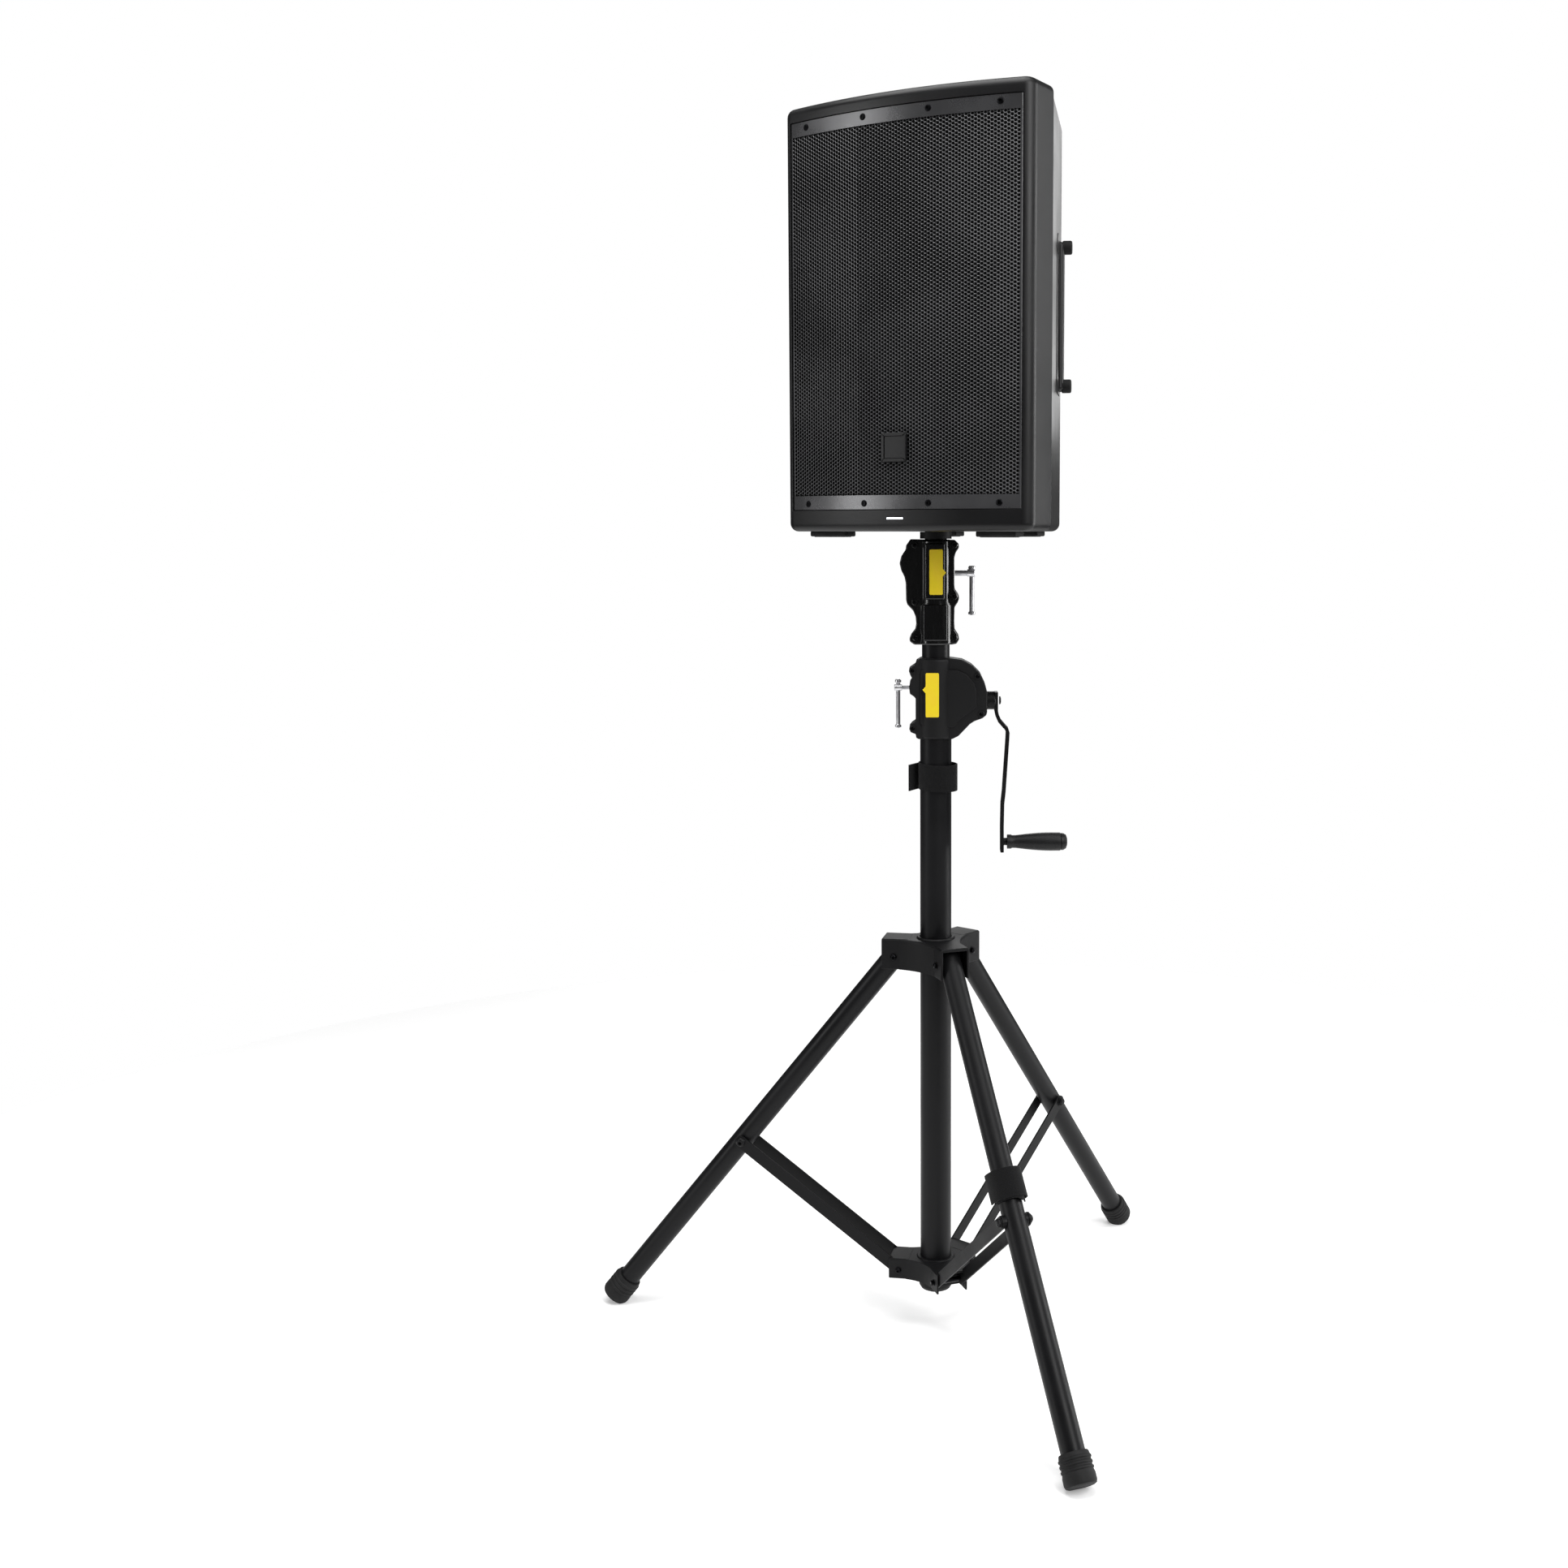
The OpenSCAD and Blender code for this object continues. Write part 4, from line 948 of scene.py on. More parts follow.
def grilleFrame():
    # the sheet's plain margins, with its sides folded back into the window
    parts = []
    thick, front = grille["thick"], grille["front"]
    step, columns = grilleColumns()
    holeEdge = (columns - 1) * step / 2 + 2.6
    for side in (1, -1):
        inner, outer = holeEdge, grilleHalf
        xs = [side * (inner + (outer - grille["fold"] - inner) * k / 4) for k in range(5)]
        path = [(x, bowAt(x) + front) for x in xs]
        for k in range(1, 6):
            a = math.pi / 2 * k / 5
            path.append((side * (outer - grille["fold"] + grille["fold"] * math.sin(a)),
                         path[4][1] + grille["fold"] * (1 - math.cos(a))))
        path.append((side * outer, path[4][1] + grille["foldBack"]))
        bm = bmesh.new()
        low = [bm.verts.new((x, y, grilleLow)) for x, y in path]
        lines = [bm.edges.new(pair) for pair in zip(low, low[1:])]
        made = bmesh.ops.extrude_edge_only(bm, edges=lines)
        far = [part for part in made["geom"] if isinstance(part, bmesh.types.BMVert)]
        bmesh.ops.translate(bm, vec=(0, 0, grilleHigh - grilleLow), verts=far)
        bmesh.ops.recalc_face_normals(bm, faces=bm.faces)
        if bm.faces[:][0].normal.y > 0:
            bmesh.ops.reverse_faces(bm, faces=bm.faces)
        bmesh.ops.solidify(bm, geom=list(bm.faces), thickness=thick)
        parts.append(closed(bm))
    rows = int((grilleHigh - grilleLow - 2 * grille["marginEnd"]) / grille["pitch"]) // 2
    reach = (grilleHigh - grilleLow) / 2 - rows * grille["pitch"] - 0.6
    for low, high in ((grilleLow, grilleLow + reach), (grilleHigh - reach, grilleHigh)):
        half = holeEdge + 0.5
        bm = bmesh.new()
        bmesh.ops.create_grid(bm, x_segments=30, y_segments=1, size=0.5)
        bmesh.ops.scale(bm, vec=(2 * half, high - low, 1), verts=bm.verts)
        moved(bm, faceFront, shift(0, 0, (low + high) / 2))
        pushOut(bm, bm.faces, (0, thick, 0))
        closed(bm)
        parts.append(bent(bm, front + 0.02))
    return joined(*parts)


def grilleScrews():
    parts = []
    for z in (grilleLow + grille["screwIn"], grilleHigh - grille["screwIn"]):
        for x in grille["screwXs"]:
            head = moved(domeHead(grille["screwHead"], 1.5, 0.5, 24), faceFront,
                         shift(0, grille["front"] - 0.1), Matrix.Rotation(math.asin(x / bowRadius), 4, "Z"))
            parts.append(moved(head, shift(x, bowAt(x), z)))
    return joined(*parts)


def grilleCloth():
    bm = bmesh.new()
    half, low, high = grilleHalf - 6, grilleLow + 4, grilleHigh - 4
    bmesh.ops.create_grid(bm, x_segments=40, y_segments=60, size=0.5)
    bmesh.ops.scale(bm, vec=(2 * half, high - low, 1), verts=bm.verts)
    moved(bm, faceFront, shift(0, 0, (low + high) / 2))
    pushOut(bm, bm.faces, (0, 0.8, 0))
    closed(bm)
    return bent(bm, grille["front"] + grille["thick"] + 0.6), half * 2, high - low


# amplifier panel

def ampPanel():
    # a pressed plate with a raised rim, fins, and holes for what stands in it
    low, high, half = boxLow + amp["low"], boxLow + amp["high"], amp["half"]
    rim, floor = amp["rim"], backY - amp["floor"]
    holes = [ring(x, boxLow + amp["low"] + up, amp["jackRadius"] - 0.5, 32) for x, up in amp["jacks"]]
    x, up, wide, tall = amp["inlet"]
    inletLow = boxLow + amp["low"] + up
    holes.append(roundedRing(x, inletLow, x + wide, inletLow + tall, 3, 4))
    x, up, wide, tall = amp["switch"]
    switchUp = boxLow + amp["low"] + up
    gapX, gapZ = wide / 2 - 1.4, tall / 2 - 1.2
    holes.append(roundedRing(x - gapX, switchUp - gapZ, x + gapX, switchUp + gapZ, 1, 2))
    outside = roundedRing(-half + 2, low + 2, half - 2, high - 2, 4)
    board = holedPlate(outside, holes, floor, floor + 2.5, 0.5)
    inside = [roundedRing(-half + 10, low + 10, half - 10, high - 10, 6)]
    border = holedPlate(roundedRing(-half, low, half, high, 5), inside, backY - rim, backY - 0.4, 0.8)
    outside = roundedRing(-half + 8.5, low + 8.5, half - 8.5, high - 8.5, 7)
    wall = holedPlate(outside, inside, floor, backY - rim + 0.3)
    parts = [board, border, wall]
    for k in range(amp["fins"]):
        x = -half + 20 + k * (2 * half - 40) / (amp["fins"] - 1)
        foot = (x - 1, floor + 2, low + amp["finsLow"])
        parts.append(block(foot, (x + 1, floor + 12, low + amp["finsTop"]), 0.6, 2))
    return joined(*parts)


def ampScrews():
    low, high, half = boxLow + amp["low"], boxLow + amp["high"], amp["half"]
    parts = []
    for x in (-half + 5, half - 5):
        for z in (low + 8, (low + high) / 2, high - 8):
            parts.append(moved(domeHead(3.4, 1.6, 0.5, 20), alongY, shift(x, backY - 0.6, z)))
    return parts


def inputJacks():
    floor, parts = backY - amp["floor"], []
    for x, up in amp["jacks"]:
        z, r = boxLow + amp["low"] + up, amp["jackRadius"]
        body = turned([
            (r - 3, -8), (r - 0.8, -8), (r - 0.8, 2), (r + 1.2, 2.4), (r + 1.6, 3.2), (r + 1.2, 4.4),
            (r - 2, 4.8), (r - 3, 4), (r - 3, -8)], 36)
        parts.append(moved(body, alongY, shift(x, floor + 2.5, z)))
        parts.append(moved(rod(r - 2.5, -8, -6, 0.3), alongY, shift(x, floor + 2.5, z)))
        for a in (90, 210, 330):
            pin = rod(1.2, -6.2, 1.5, 0.4, 12)
            turn = math.radians(a)
            aside, above = 4 * math.cos(turn), 4 * math.sin(turn)
            parts.append(moved(pin, alongY, shift(x + aside, floor + 2.5, z + above)))
    x, up, wide, tall = amp["inlet"]
    z = boxLow + amp["low"] + up
    mouth = [roundedRing(x + 2.5, z + 2.5, x + wide - 2.5, z + tall - 2.5, 3)]
    flange = roundedRing(x - 2.5, z - 2.5, x + wide + 2.5, z + tall + 2.5, 4)
    shell = holedPlate(flange, mouth, floor + 2.6, floor + 5, 0.5)
    sides = roundedRing(x + 1, z + 1, x + wide - 1, z + tall - 1, 3)
    well = holedPlate(sides, mouth, floor - 14, floor + 3)
    back = plate(sides, floor - 15, floor - 13)
    parts += [shell, well, back]
    for dx, dz in ((-7, 2), (0, -4), (7, 2)):
        middle = (x + wide / 2 + dx, z + tall / 2 + dz)
        near = (middle[0] - 1, floor - 13.5, middle[1] - 2)
        parts.append(block(near, (middle[0] + 1, floor + 1, middle[1] + 2), 0.4, 1))
    return joined(*parts)


def levelKnob(x):
    z, floor = boxLow + amp["low"] + amp["knobUp"], backY - amp["floor"]
    steps = 48
    bm = turned([(0, 0), (8.6, 0), (9, 0.6), (8.7, 9), (8, 11), (6.5, 11.8), (0, 12)], steps)
    for vert in bm.verts:
        turn = math.atan2(vert.co.y, vert.co.x)
        if 0.3 < vert.co.z < 10 and vert.co.xy.length > 5:
            vert.co.xy *= 1 + 0.045 * math.cos(turn * 16)
    mark = block((-0.7, 2, 11), (0.7, 8.3, 12.4), 0.3, 2)
    return moved(joined(bm, mark), alongY, shift(x, floor + 3, z))


def rocker():
    x, up, wide, tall = amp["switch"]
    z, floor = boxLow + amp["low"] + up, backY - amp["floor"]
    middle = (x, z)
    bm = block((middle[0] - wide / 2 + 2, floor + 1, middle[1] - tall / 2 + 2),
               (middle[0] + wide / 2 - 2, floor + 7, middle[1] + tall / 2 - 2), 0.8, 2)
    for vert in bm.verts:
        if vert.co.y > floor + 4:
            vert.co.y += (vert.co.z - middle[1]) * 0.14
    return bm


# stand: tubes, legs, feet, struts

stand = {
    "legRadius": 17.5, "legStart": -24, "legEnd": 757, "strutAt": 412,
    "footStart": 735, "footEnd": 779, "footRadius": 23.6,
    "strutSide": 21, "strutHalf": 10, "strutThick": 3, "strutLength": 331.4, "strutRise": -37.0,
    "legOut": 65, "legUp": 618, "spreadOut": 58, "spreadUp": 97,
}


def legTube():
    bm = rod(stand["legRadius"], stand["legStart"], stand["legEnd"], 1.2, 48)
    tube = moved(bm, alongX)
    spacer = rod(9, -19.4, 19.4, 0.5, 28)
    parts = [tube, moved(spacer, alongY, shift(stand["strutAt"]))]
    # a dome head on one side, a washer and cap nut on the other
    head = domeHead(7.8, 5, 0.5, 28)
    parts.append(moved(head, alongY, shift(stand["strutAt"], 22.8)))
    cap = turned([(0, 1), (6.4, 1), (6.4, 4.2), (5.6, 4.8), (4, 6.2), (0, 6.8)], 6)
    nut = joined(rod(8.2, 0, 1.4, 0.3), cap)
    parts.append(moved(nut, faceFront, shift(stand["strutAt"], -22.8)))
    return joined(*parts)


def footShape():
    start, end, r = stand["footStart"], stand["footEnd"], stand["footRadius"]
    profile = [(17.6, start), (20.4, start), (21.4, start + 1), (21.8, start + 3)]
    for k in range(3):
        at = start + 6 + 7 * k
        profile += [(r - 1.3, at), (r, at + 1), (r, at + 3.4), (r - 1.3, at + 4.4)]
    profile += [(r, end - 14), (r, end - 5), (r - 1.5, end - 1.5), (r - 5, end), (0, end)]
    profile += [(0, end - 9), (17.6, end - 9), (17.6, start)]
    return moved(turned(profile, 44), alongX)


def cutAtFloor(bm, place):
    # the foot's sole is flat on the floor
    moved(bm, place)
    geometry = list(bm.verts) + list(bm.edges) + list(bm.faces)
    bmesh.ops.bisect_plane(
        bm, geom=geometry, plane_co=(0, 0, 0.0003), plane_no=(0, 0, -1), clear_outer=True)
    bmesh.ops.holes_fill(bm, edges=[edge for edge in bm.edges if edge.is_boundary], sides=0)
    bmesh.ops.recalc_face_normals(bm, faces=bm.faces)
    return bm


def strutBars():
    half, length, parts = stand["strutHalf"], stand["strutLength"], []
    outline = ring(0, 0, half, 32)
    outline = [(x if x < 0 else x + length, z) for x, z in outline]
    for side in (1, -1):
        middle = side * stand["strutSide"]
        near, far = middle - stand["strutThick"] / 2, middle + stand["strutThick"] / 2
        parts.append(plate(outline, near, far, 0, 0.5, 2))
    return joined(*parts)


# the two star hubs

star = {
    "lobe": 24, "start": 56, "out": 85, "low": 598, "high": 647, "wall": 4, "rim": 4, "web": 36,
    "bore": 25.3, "sleeve": 31, "roof": 5, "lobeStart": 40,
    "lowerLobe": 26, "lowerStart": 46, "lowerOut": 74, "lowerLow": 83, "lowerHigh": 116, "lowerWeb": 34,
}


def starOutline(out, half, web):
    # three straight lobes joined by wide curves
    points = []
    for name in legNames:
        turn = legTurn(name)
        ahead, aside = Vector((math.cos(turn), math.sin(turn))), Vector((-math.sin(turn), math.cos(turn)))
        points.append((turn, [ahead * out - aside * half, ahead * out + aside * half]))
    points.sort(key=lambda entry: entry[0])
    outline = []
    for k, (turn, ends) in enumerate(points):
        following = points[(k + 1) % 3][1]
        first, last = ends[1], following[0]
        outline += [ends[0], ends[1]]
        # the curve between this lobe and the next
        between = (first.normalized() + last.normalized()).normalized()
        pull = between * web
        for step in range(1, 12):
            t = step / 12
            outline.append((1 - t) ** 2 * first * 1.0 + 2 * t * (1 - t) * pull + t ** 2 * last)
    return outline


def starBody(out, half, web, low, high, rim, bore, wallDown):
    # an upright star with a rounded top rim, hollowed from below
    bm = bmesh.new()
    outline = starOutline(out, half, web)
    top = bm.faces.new([bm.verts.new((x, y, high)) for x, y in outline])
    pushOut(bm, [top], (0, 0, low - high))
    closed(bm)
    roofEdges = [edge for edge in bm.edges if all(abs(v.co.z - high) < 0.01 for v in edge.verts)]
    soften(bm, roofEdges, rim, 4)
    closed(bm)
    under = [face for face in bm.faces if face.normal.z < -0.99]
    bmesh.ops.inset_region(bm, faces=under, thickness=star["wall"])
    for vert in {vert for face in under for vert in face.verts}:
        vert.co.z += wallDown
    # the bore for the mast, through the roof
    rims = []
    for up in (1, -1):
        face = largest(face for face in bm.faces if face.normal.z * up > 0.99)
        level = face.verts[0].co.z
        edges = list(face.edges)
        bmesh.ops.delete(bm, geom=[face], context="FACES_ONLY")
        loop = addLoop(bm, [(x, y, level) for x, y in ring(0, 0, bore, 48)])
        rims += loop
        bmesh.ops.triangle_fill(bm, edges=edges + loop, use_beauty=True)
    bmesh.ops.bridge_loops(bm, edges=rims)
    return closed(bm)


def lobes(start, out, half, low, high, roof, wall):
    # the two cheeks and the roof of each arm, open at its end and below
    parts = []
    for name in legNames:
        turn = Matrix.Rotation(legTurn(name), 4, "Z")
        for side in (1, -1):
            near, far = sorted((side * (half - wall), side * half))
            parts.append(moved(block((start, near, low), (out, far, high - 1), 1.2, 3), turn))
        roofPlate = block((start, 1 - half, high - roof), (out, half - 1, high + 0.4), 1.6, 3)
        parts.append(moved(roofPlate, turn))
    return parts


def legHub():
    low, high, bore, sleeveRadius = star["low"], star["high"], star["bore"], star["sleeve"]
    body = starBody(star["start"], star["lobe"], star["web"], low, high, star["rim"], bore, 44)
    arms = lobes(star["lobeStart"], star["out"], star["lobe"], low, high, star["roof"], star["wall"])
    body = joined(body, *arms)
    sleeve = turned([
        (bore, low + 4), (sleeveRadius, low + 4), (sleeveRadius, high + 1),
        (sleeveRadius - 1.5, high + 3), (bore + 1, high + 3), (bore, high + 2), (bore, low + 4)], 56)
    return joined(body, sleeve)


def crossBolts(out, up, reach, radius):
    # a dome head and a nut on each lobe
    parts = []
    for name in legNames:
        turn = Matrix.Rotation(legTurn(name), 4, "Z")
        pin = moved(rod(4, -reach, reach, 0.3, 16), alongY, shift(out, 0, up), turn)
        head = moved(domeHead(radius, 4.2, 0.45, 24), alongY, shift(out, reach - 0.6, up), turn)
        flat = radius * 0.8
        cap = turned([(0, 0.6), (flat, 0.6), (flat, 3.4), (radius * 0.5, 4.6), (0, 4.9)], 6)
        nut = joined(rod(radius, 0, 1, 0.2, 24), cap)
        parts += [pin, head, moved(nut, faceFront, shift(out, -reach + 0.6, up), turn)]
    return joined(*parts)


def spreaderHub():
    low, high = star["lowerLow"], star["lowerHigh"]
    body = starBody(
        star["lowerStart"], star["lowerLobe"], star["lowerWeb"], low, high, 1.4, star["bore"], 29)
    arms = lobes(star["lobeStart"], star["lowerOut"], star["lowerLobe"], low, high, 3, 3)
    body = joined(body, *arms)
    collar = turned([(25.3, 80), (31, 80), (32, 81.5), (32, 115), (30, 118), (25.3, 118), (25.3, 80)], 56)
    return joined(body, collar)


def knobShape():
    # a fluted knob on its stud
    bm = turned([
        (0, 46), (6, 46), (6, 50), (15, 50), (19, 51.5),
        (19, 65), (17.5, 67.5), (12, 68.5), (0, 68.5)], 60)
    for vert in bm.verts:
        if vert.co.z > 49.9 and vert.co.xy.length > 12:
            vert.co.xy *= 1 + 0.05 * math.cos(6 * math.atan2(vert.co.y, vert.co.x))
    stud = rod(4, 26, 47, 0.3, 20)
    return moved(joined(bm, stud), alongX, Matrix.Rotation(math.radians(111), 4, "Z"), shift(0, 0, 622))


# winch

winch = {
    "case": [
        (-23, 1101), (-31, 1096), (-32, 1091), (-38, 1087), (-42.7, 1081), (-40, 1073), (-37, 1068),
        (-41, 1063), (-42, 1053), (-41, 1044), (-36, 1041), (-32, 1037), (-32, 1000), (-38, 996),
        (-42, 990), (-40, 983), (-32, 980), (-31, 974), (-27, 972), (26, 972), (36, 977), (45.6, 987),
        (54, 996), (62, 1001), (73.5, 1005), (80, 1010), (81.4, 1015), (81.4, 1047), (78, 1060),
        (70, 1077), (57, 1090), (42, 1098), (24, 1100.6)],
    "inset": [
        (-24, 1082), (34, 1082), (49, 1075), (60, 1062), (64, 1049), (64, 1024), (58, 1018), (46, 1010),
        (37, 1002), (30, 992), (24, 991), (-15, 991), (-25, 997)],
    "plateHalf": 22, "raise": 25, "barrel": 31, "low": 973, "high": 1100,
    "screws": [(-37, 1081), (-36.5, 989), (72, 1012), (66, 1072)],
}


def winchCase(front):
    side = -1 if front else 1
    out, radius, low, high = winch["plateHalf"], winch["barrel"], winch["low"], winch["high"]
    shell = plate(winch["case"], 0, side * out, 1.2, 3.2, 4, 3)
    raised = plate(winch["inset"], side * 4, side * winch["raise"], 3, 1.6, 3, 4)
    barrel = turned([
        (0, low), (radius - 3, low), (radius, low + 3), (radius, high - 5),
        (radius - 1.6, high - 1.6), (radius - 5, high), (0, high)], 56)
    cutHalf(barrel, front, 0.4)
    parts = [shell, raised, barrel]
    for x, z in winch["screws"]:
        rim = [(3.2, 3), (5.4, 3), (5.4, out + 1.2), (4.8, out + 2), (3.2, out + 2), (3.2, 3)]
        parts.append(moved(turned(rim, 28), alongY if side > 0 else faceFront, shift(x, 0, z)))
    return joined(*parts)


def label(x0, z0, x1, z1, tabX, tabLow, tabHigh, front):
    # a thin sticker with rounded corners and a pointer at one side
    outline = roundedRing(x0, z0, x1, z1, 2, 4)
    sticker = plate(outline, -front, -front + 0.35)
    root = x0 + 1 if tabX < x0 else x1 - 1
    pointer = [(root, tabLow - 1), (tabX, (tabLow + tabHigh) / 2), (root, tabHigh + 1)]
    tab = plate(pointer, -front + 0.01, -front + 0.34, 0.8)
    return joined(sticker, tab)


def tBolt(side, z, x0, x1, screw, ferrule, bar, barAt, barLow, barHigh):
    # the screw and ferrule on one body, the sliding bar on another
    rodPart = moved(threaded(screw, x0, x1 + 2), alongX)
    outside = [(screw - 1, x1), (ferrule, x1), (ferrule, x1 + 11.2), (ferrule - 0.8, x1 + 12)]
    sleeve = moved(turned([*outside, (0, x1 + 12), (0, x1)], 32), alongX)
    body = moved(joined(rodPart, sleeve), Matrix.Scale(side, 4, (1, 0, 0)), shift(0, 0, z))
    ball = bar * 1.45
    ends = [(0, barLow), (ball * 0.7, barLow), (ball, barLow + 1.5)]
    ends += [(ball, barLow + 4.5), (bar, barLow + 6)]
    ends += [(bar, barHigh - 6), (ball, barHigh - 4.5), (ball, barHigh - 1.5)]
    ends += [(ball * 0.7, barHigh), (0, barHigh)]
    sliding = moved(turned(ends, 28), shift(side * barAt))
    return body, sliding


def crankPieces():
    z = jointHeight("crank_turn")
    boss = turned([(0, 80), (12.5, 80), (14.5, 82), (14.5, 94), (13, 95.5), (0, 95.5)], 44)
    nut = turned([(0, 101), (6.5, 101), (6.5, 102.4), (5.5, 103.4), (3, 104), (0, 104)], 24)
    shaft = moved(joined(boss, nut), alongX, shift(0, 0, z))
    path = [(99, 1046), (99, 1016), (100.5, 1009), (104, 1001), (111, 993), (115.5, 988)]
    path += [(117.5, 981), (117, 970), (111.5, 885), (109.5, 867)]
    path += [(108.8, 830), (109, 788)]
    arm = ribbon(path, 5.6, 25, 1.0)
    pin = moved(rod(6, 104, 118, 1, 24), alongX, shift(0, 0, 804))
    return shaft, joined(arm, pin)


def gripShape():
    start, length = 114.5, 96.5
    profile = [(5, start), (11.5, start), (11.5, start + 6), (10.3, start + 8), (10.4, start + 14)]
    for k in range(1, 11):
        t = k / 10
        swell = 4.3 * math.sin(min(t, 0.9) * math.pi * 0.62)
        profile.append((10.4 + swell, start + 14 + t * (length - 26)))
    seam = start + length - 10
    profile += [(13.9, seam - 0.8), (13.2, seam), (13.9, seam + 0.8), (13.4, seam + 4)]
    profile += [(11, seam + 8), (6, seam + 9.8), (0, seam + 10)]
    profile += [(0, start + length - 14), (5, start + length - 14), (5, start)]
    return moved(turned(profile, 44), alongX, shift(0, 0, 804))


# clamp

clamp = {
    "case": [
        (-40, 1288), (-47, 1278), (-47.5, 1272), (-54.6, 1261), (-57.2, 1250), (-54.6, 1239),
        (-49.5, 1229), (-47.5, 1219), (-47, 1192), (-45, 1185), (-35.6, 1175), (-32, 1166), (-31, 1155),
        (-32.7, 1146), (-39, 1138), (-41.8, 1131), (-40.7, 1126), (-34, 1121.5), (25.7, 1121.6),
        (33, 1123), (37, 1130), (36, 1137), (30, 1146), (29.3, 1158), (29.8, 1181), (34.5, 1188),
        (37, 1195), (36, 1201), (30, 1210), (29.3, 1217), (29.3, 1259), (31.5, 1267), (36.7, 1275),
        (36, 1281), (30, 1287)],
    "flange": 12, "barrel": 24.5, "low": 1121, "high": 1288,
    "panel": [(-17, 1193), (14, 1193), (14, 1282), (-17, 1282)], "panelOut": 28,
    "lowerPanel": [(-20, 1128), (18, 1128), (18, 1186), (-20, 1186)], "lowerPanelOut": 30.5,
    "screws": [(-33, 1279), (29, 1279), (29, 1198), (-33, 1189), (-32, 1133), (29, 1133)],
}


def clampCase(front):
    side = -1 if front else 1
    out, radius, low, high = clamp["flange"], clamp["barrel"], clamp["low"], clamp["high"]
    shell = plate(clamp["case"], 0, side * out, 1.5, 2.6, 4, 3)
    barrel = turned([
        (0, low + 1), (radius + 1.5, low + 1), (radius + 3.5, low + 4), (radius + 3.5, low + 62),
        (radius, low + 68), (radius, high - 4), (radius - 3, high - 0.5), (0, high - 0.5)], 56)
    cutHalf(barrel, front, 0.4)
    panel = plate(clamp["panel"], side * 6, side * clamp["panelOut"], 3, 4.5, 5)
    lower = plate(clamp["lowerPanel"], side * 6, side * clamp["lowerPanelOut"], 3, 6, 5)
    parts = [shell, barrel, panel, lower]
    for x, z in clamp["screws"]:
        rim = [(2.6, 2), (5.4, 2), (5.4, out + 1), (4.6, out + 2), (2.6, out + 2), (2.6, 2)]
        parts.append(moved(turned(rim, 28), alongY if side > 0 else faceFront, shift(x, 0, z)))
    return joined(*parts)


def caseScrews(places, out):
    parts = []
    for x, z in places:
        for turn, side in ((alongY, 1), (faceFront, -1)):
            parts.append(moved(domeHead(2.5, 0.9, 0.5, 16), turn, shift(x, side * out, z)))
    return joined(*parts)


# straps

def strap(radius, loose, bulge, flap, low, high, turns, start, thick=2.2, steps=64):
    # a band wound round a tube more than once, with its map in metres along and over
    bm = bmesh.new()
    layer = bm.loops.layers.uv.new("UVMap")
    count = int(steps * turns)
    path, length = [], [0.0]
    for k in range(count + 1):
        turn = start + 2 * math.pi * turns * k / count
        away = radius + thick / 2 + 0.4 + (thick + 0.5) * turns * k / count
        away += loose * (0.5 + 0.5 * math.cos(turn - bulge)) * (0.75 + 0.25 * math.sin(2.3 * turn + 0.7))
        away += flap * max(0, (k / count - 0.9) / 0.1) ** 2
        path.append(Vector((away * math.cos(turn), away * math.sin(turn), 0)))
        if k:
            length.append(length[-1] + (path[-1] - path[-2]).length)
    rows = []
    over = 6
    for k, point in enumerate(path):
        sag = 1.2 * math.sin(3.1 * k / count * math.pi) - 2.5 * k / count + 6 * max(0, 1 - 9 * k / count)
        levels = [low + sag + (high - low) * j / over for j in range(over + 1)]
        rows.append([bm.verts.new((point.x, point.y, level)) for level in levels])
    for k in range(count):
        for j in range(over):
            face = bm.faces.new((rows[k][j], rows[k + 1][j], rows[k + 1][j + 1], rows[k][j + 1]))
            spots = ((k, j), (k + 1, j), (k + 1, j + 1), (k, j + 1))
            for loop, (a, b) in zip(face.loops, spots):
                loop[layer].uv = (length[a] / 1000, (high - low) * b / over / 1000)
    bmesh.ops.recalc_face_normals(bm, faces=bm.faces)
    bmesh.ops.solidify(bm, geom=list(bm.faces), thickness=thick)
    closed(bm)
    return bm, length[-1] / 1000, (high - low) / 1000


# build

finishes = makeFinishes()
makeCamera()
makeStudio()
print("studio ready")

makePiece("frontShell", frontShell(), speakerFrame, "speaker", "cabinet_plastic", ["front_shell"])
makePiece(
    "rearShell", rearShell(), speakerFrame, "speaker", "cabinet_plastic", ["rear_shell"],
    wall=cabinet["wall"])
makePiece("rightHandle", handleShape(1), speakerFrame, "speaker", "cabinet_plastic", ["right_handle"])
makePiece("leftHandle", handleShape(-1), speakerFrame, "speaker", "cabinet_plastic", ["left_handle"])
makePiece("bumpers", joined(*bumpers()), speakerFrame, "speaker", "soft_rubber")
makePiece("cabinetFeet", joined(*cabinetFeet()), speakerFrame, "speaker", "soft_rubber", ["rubber_feet"])
makePiece("badge", badgeShape(), speakerFrame, "speaker", "cabinet_plastic", ["badge"])
lightLow = (-lightBar["half"], frontY - 0.3, boxLow + lightBar["low"])
lightHigh = (lightBar["half"], frontY + 3, boxLow + lightBar["high"])
lightMesh = block(lightLow, lightHigh, 0.8, 3)
makePiece("lightBar", lightMesh, speakerFrame, "speaker", "light_diffuser", ["power_light"])
print("cabinet ready")

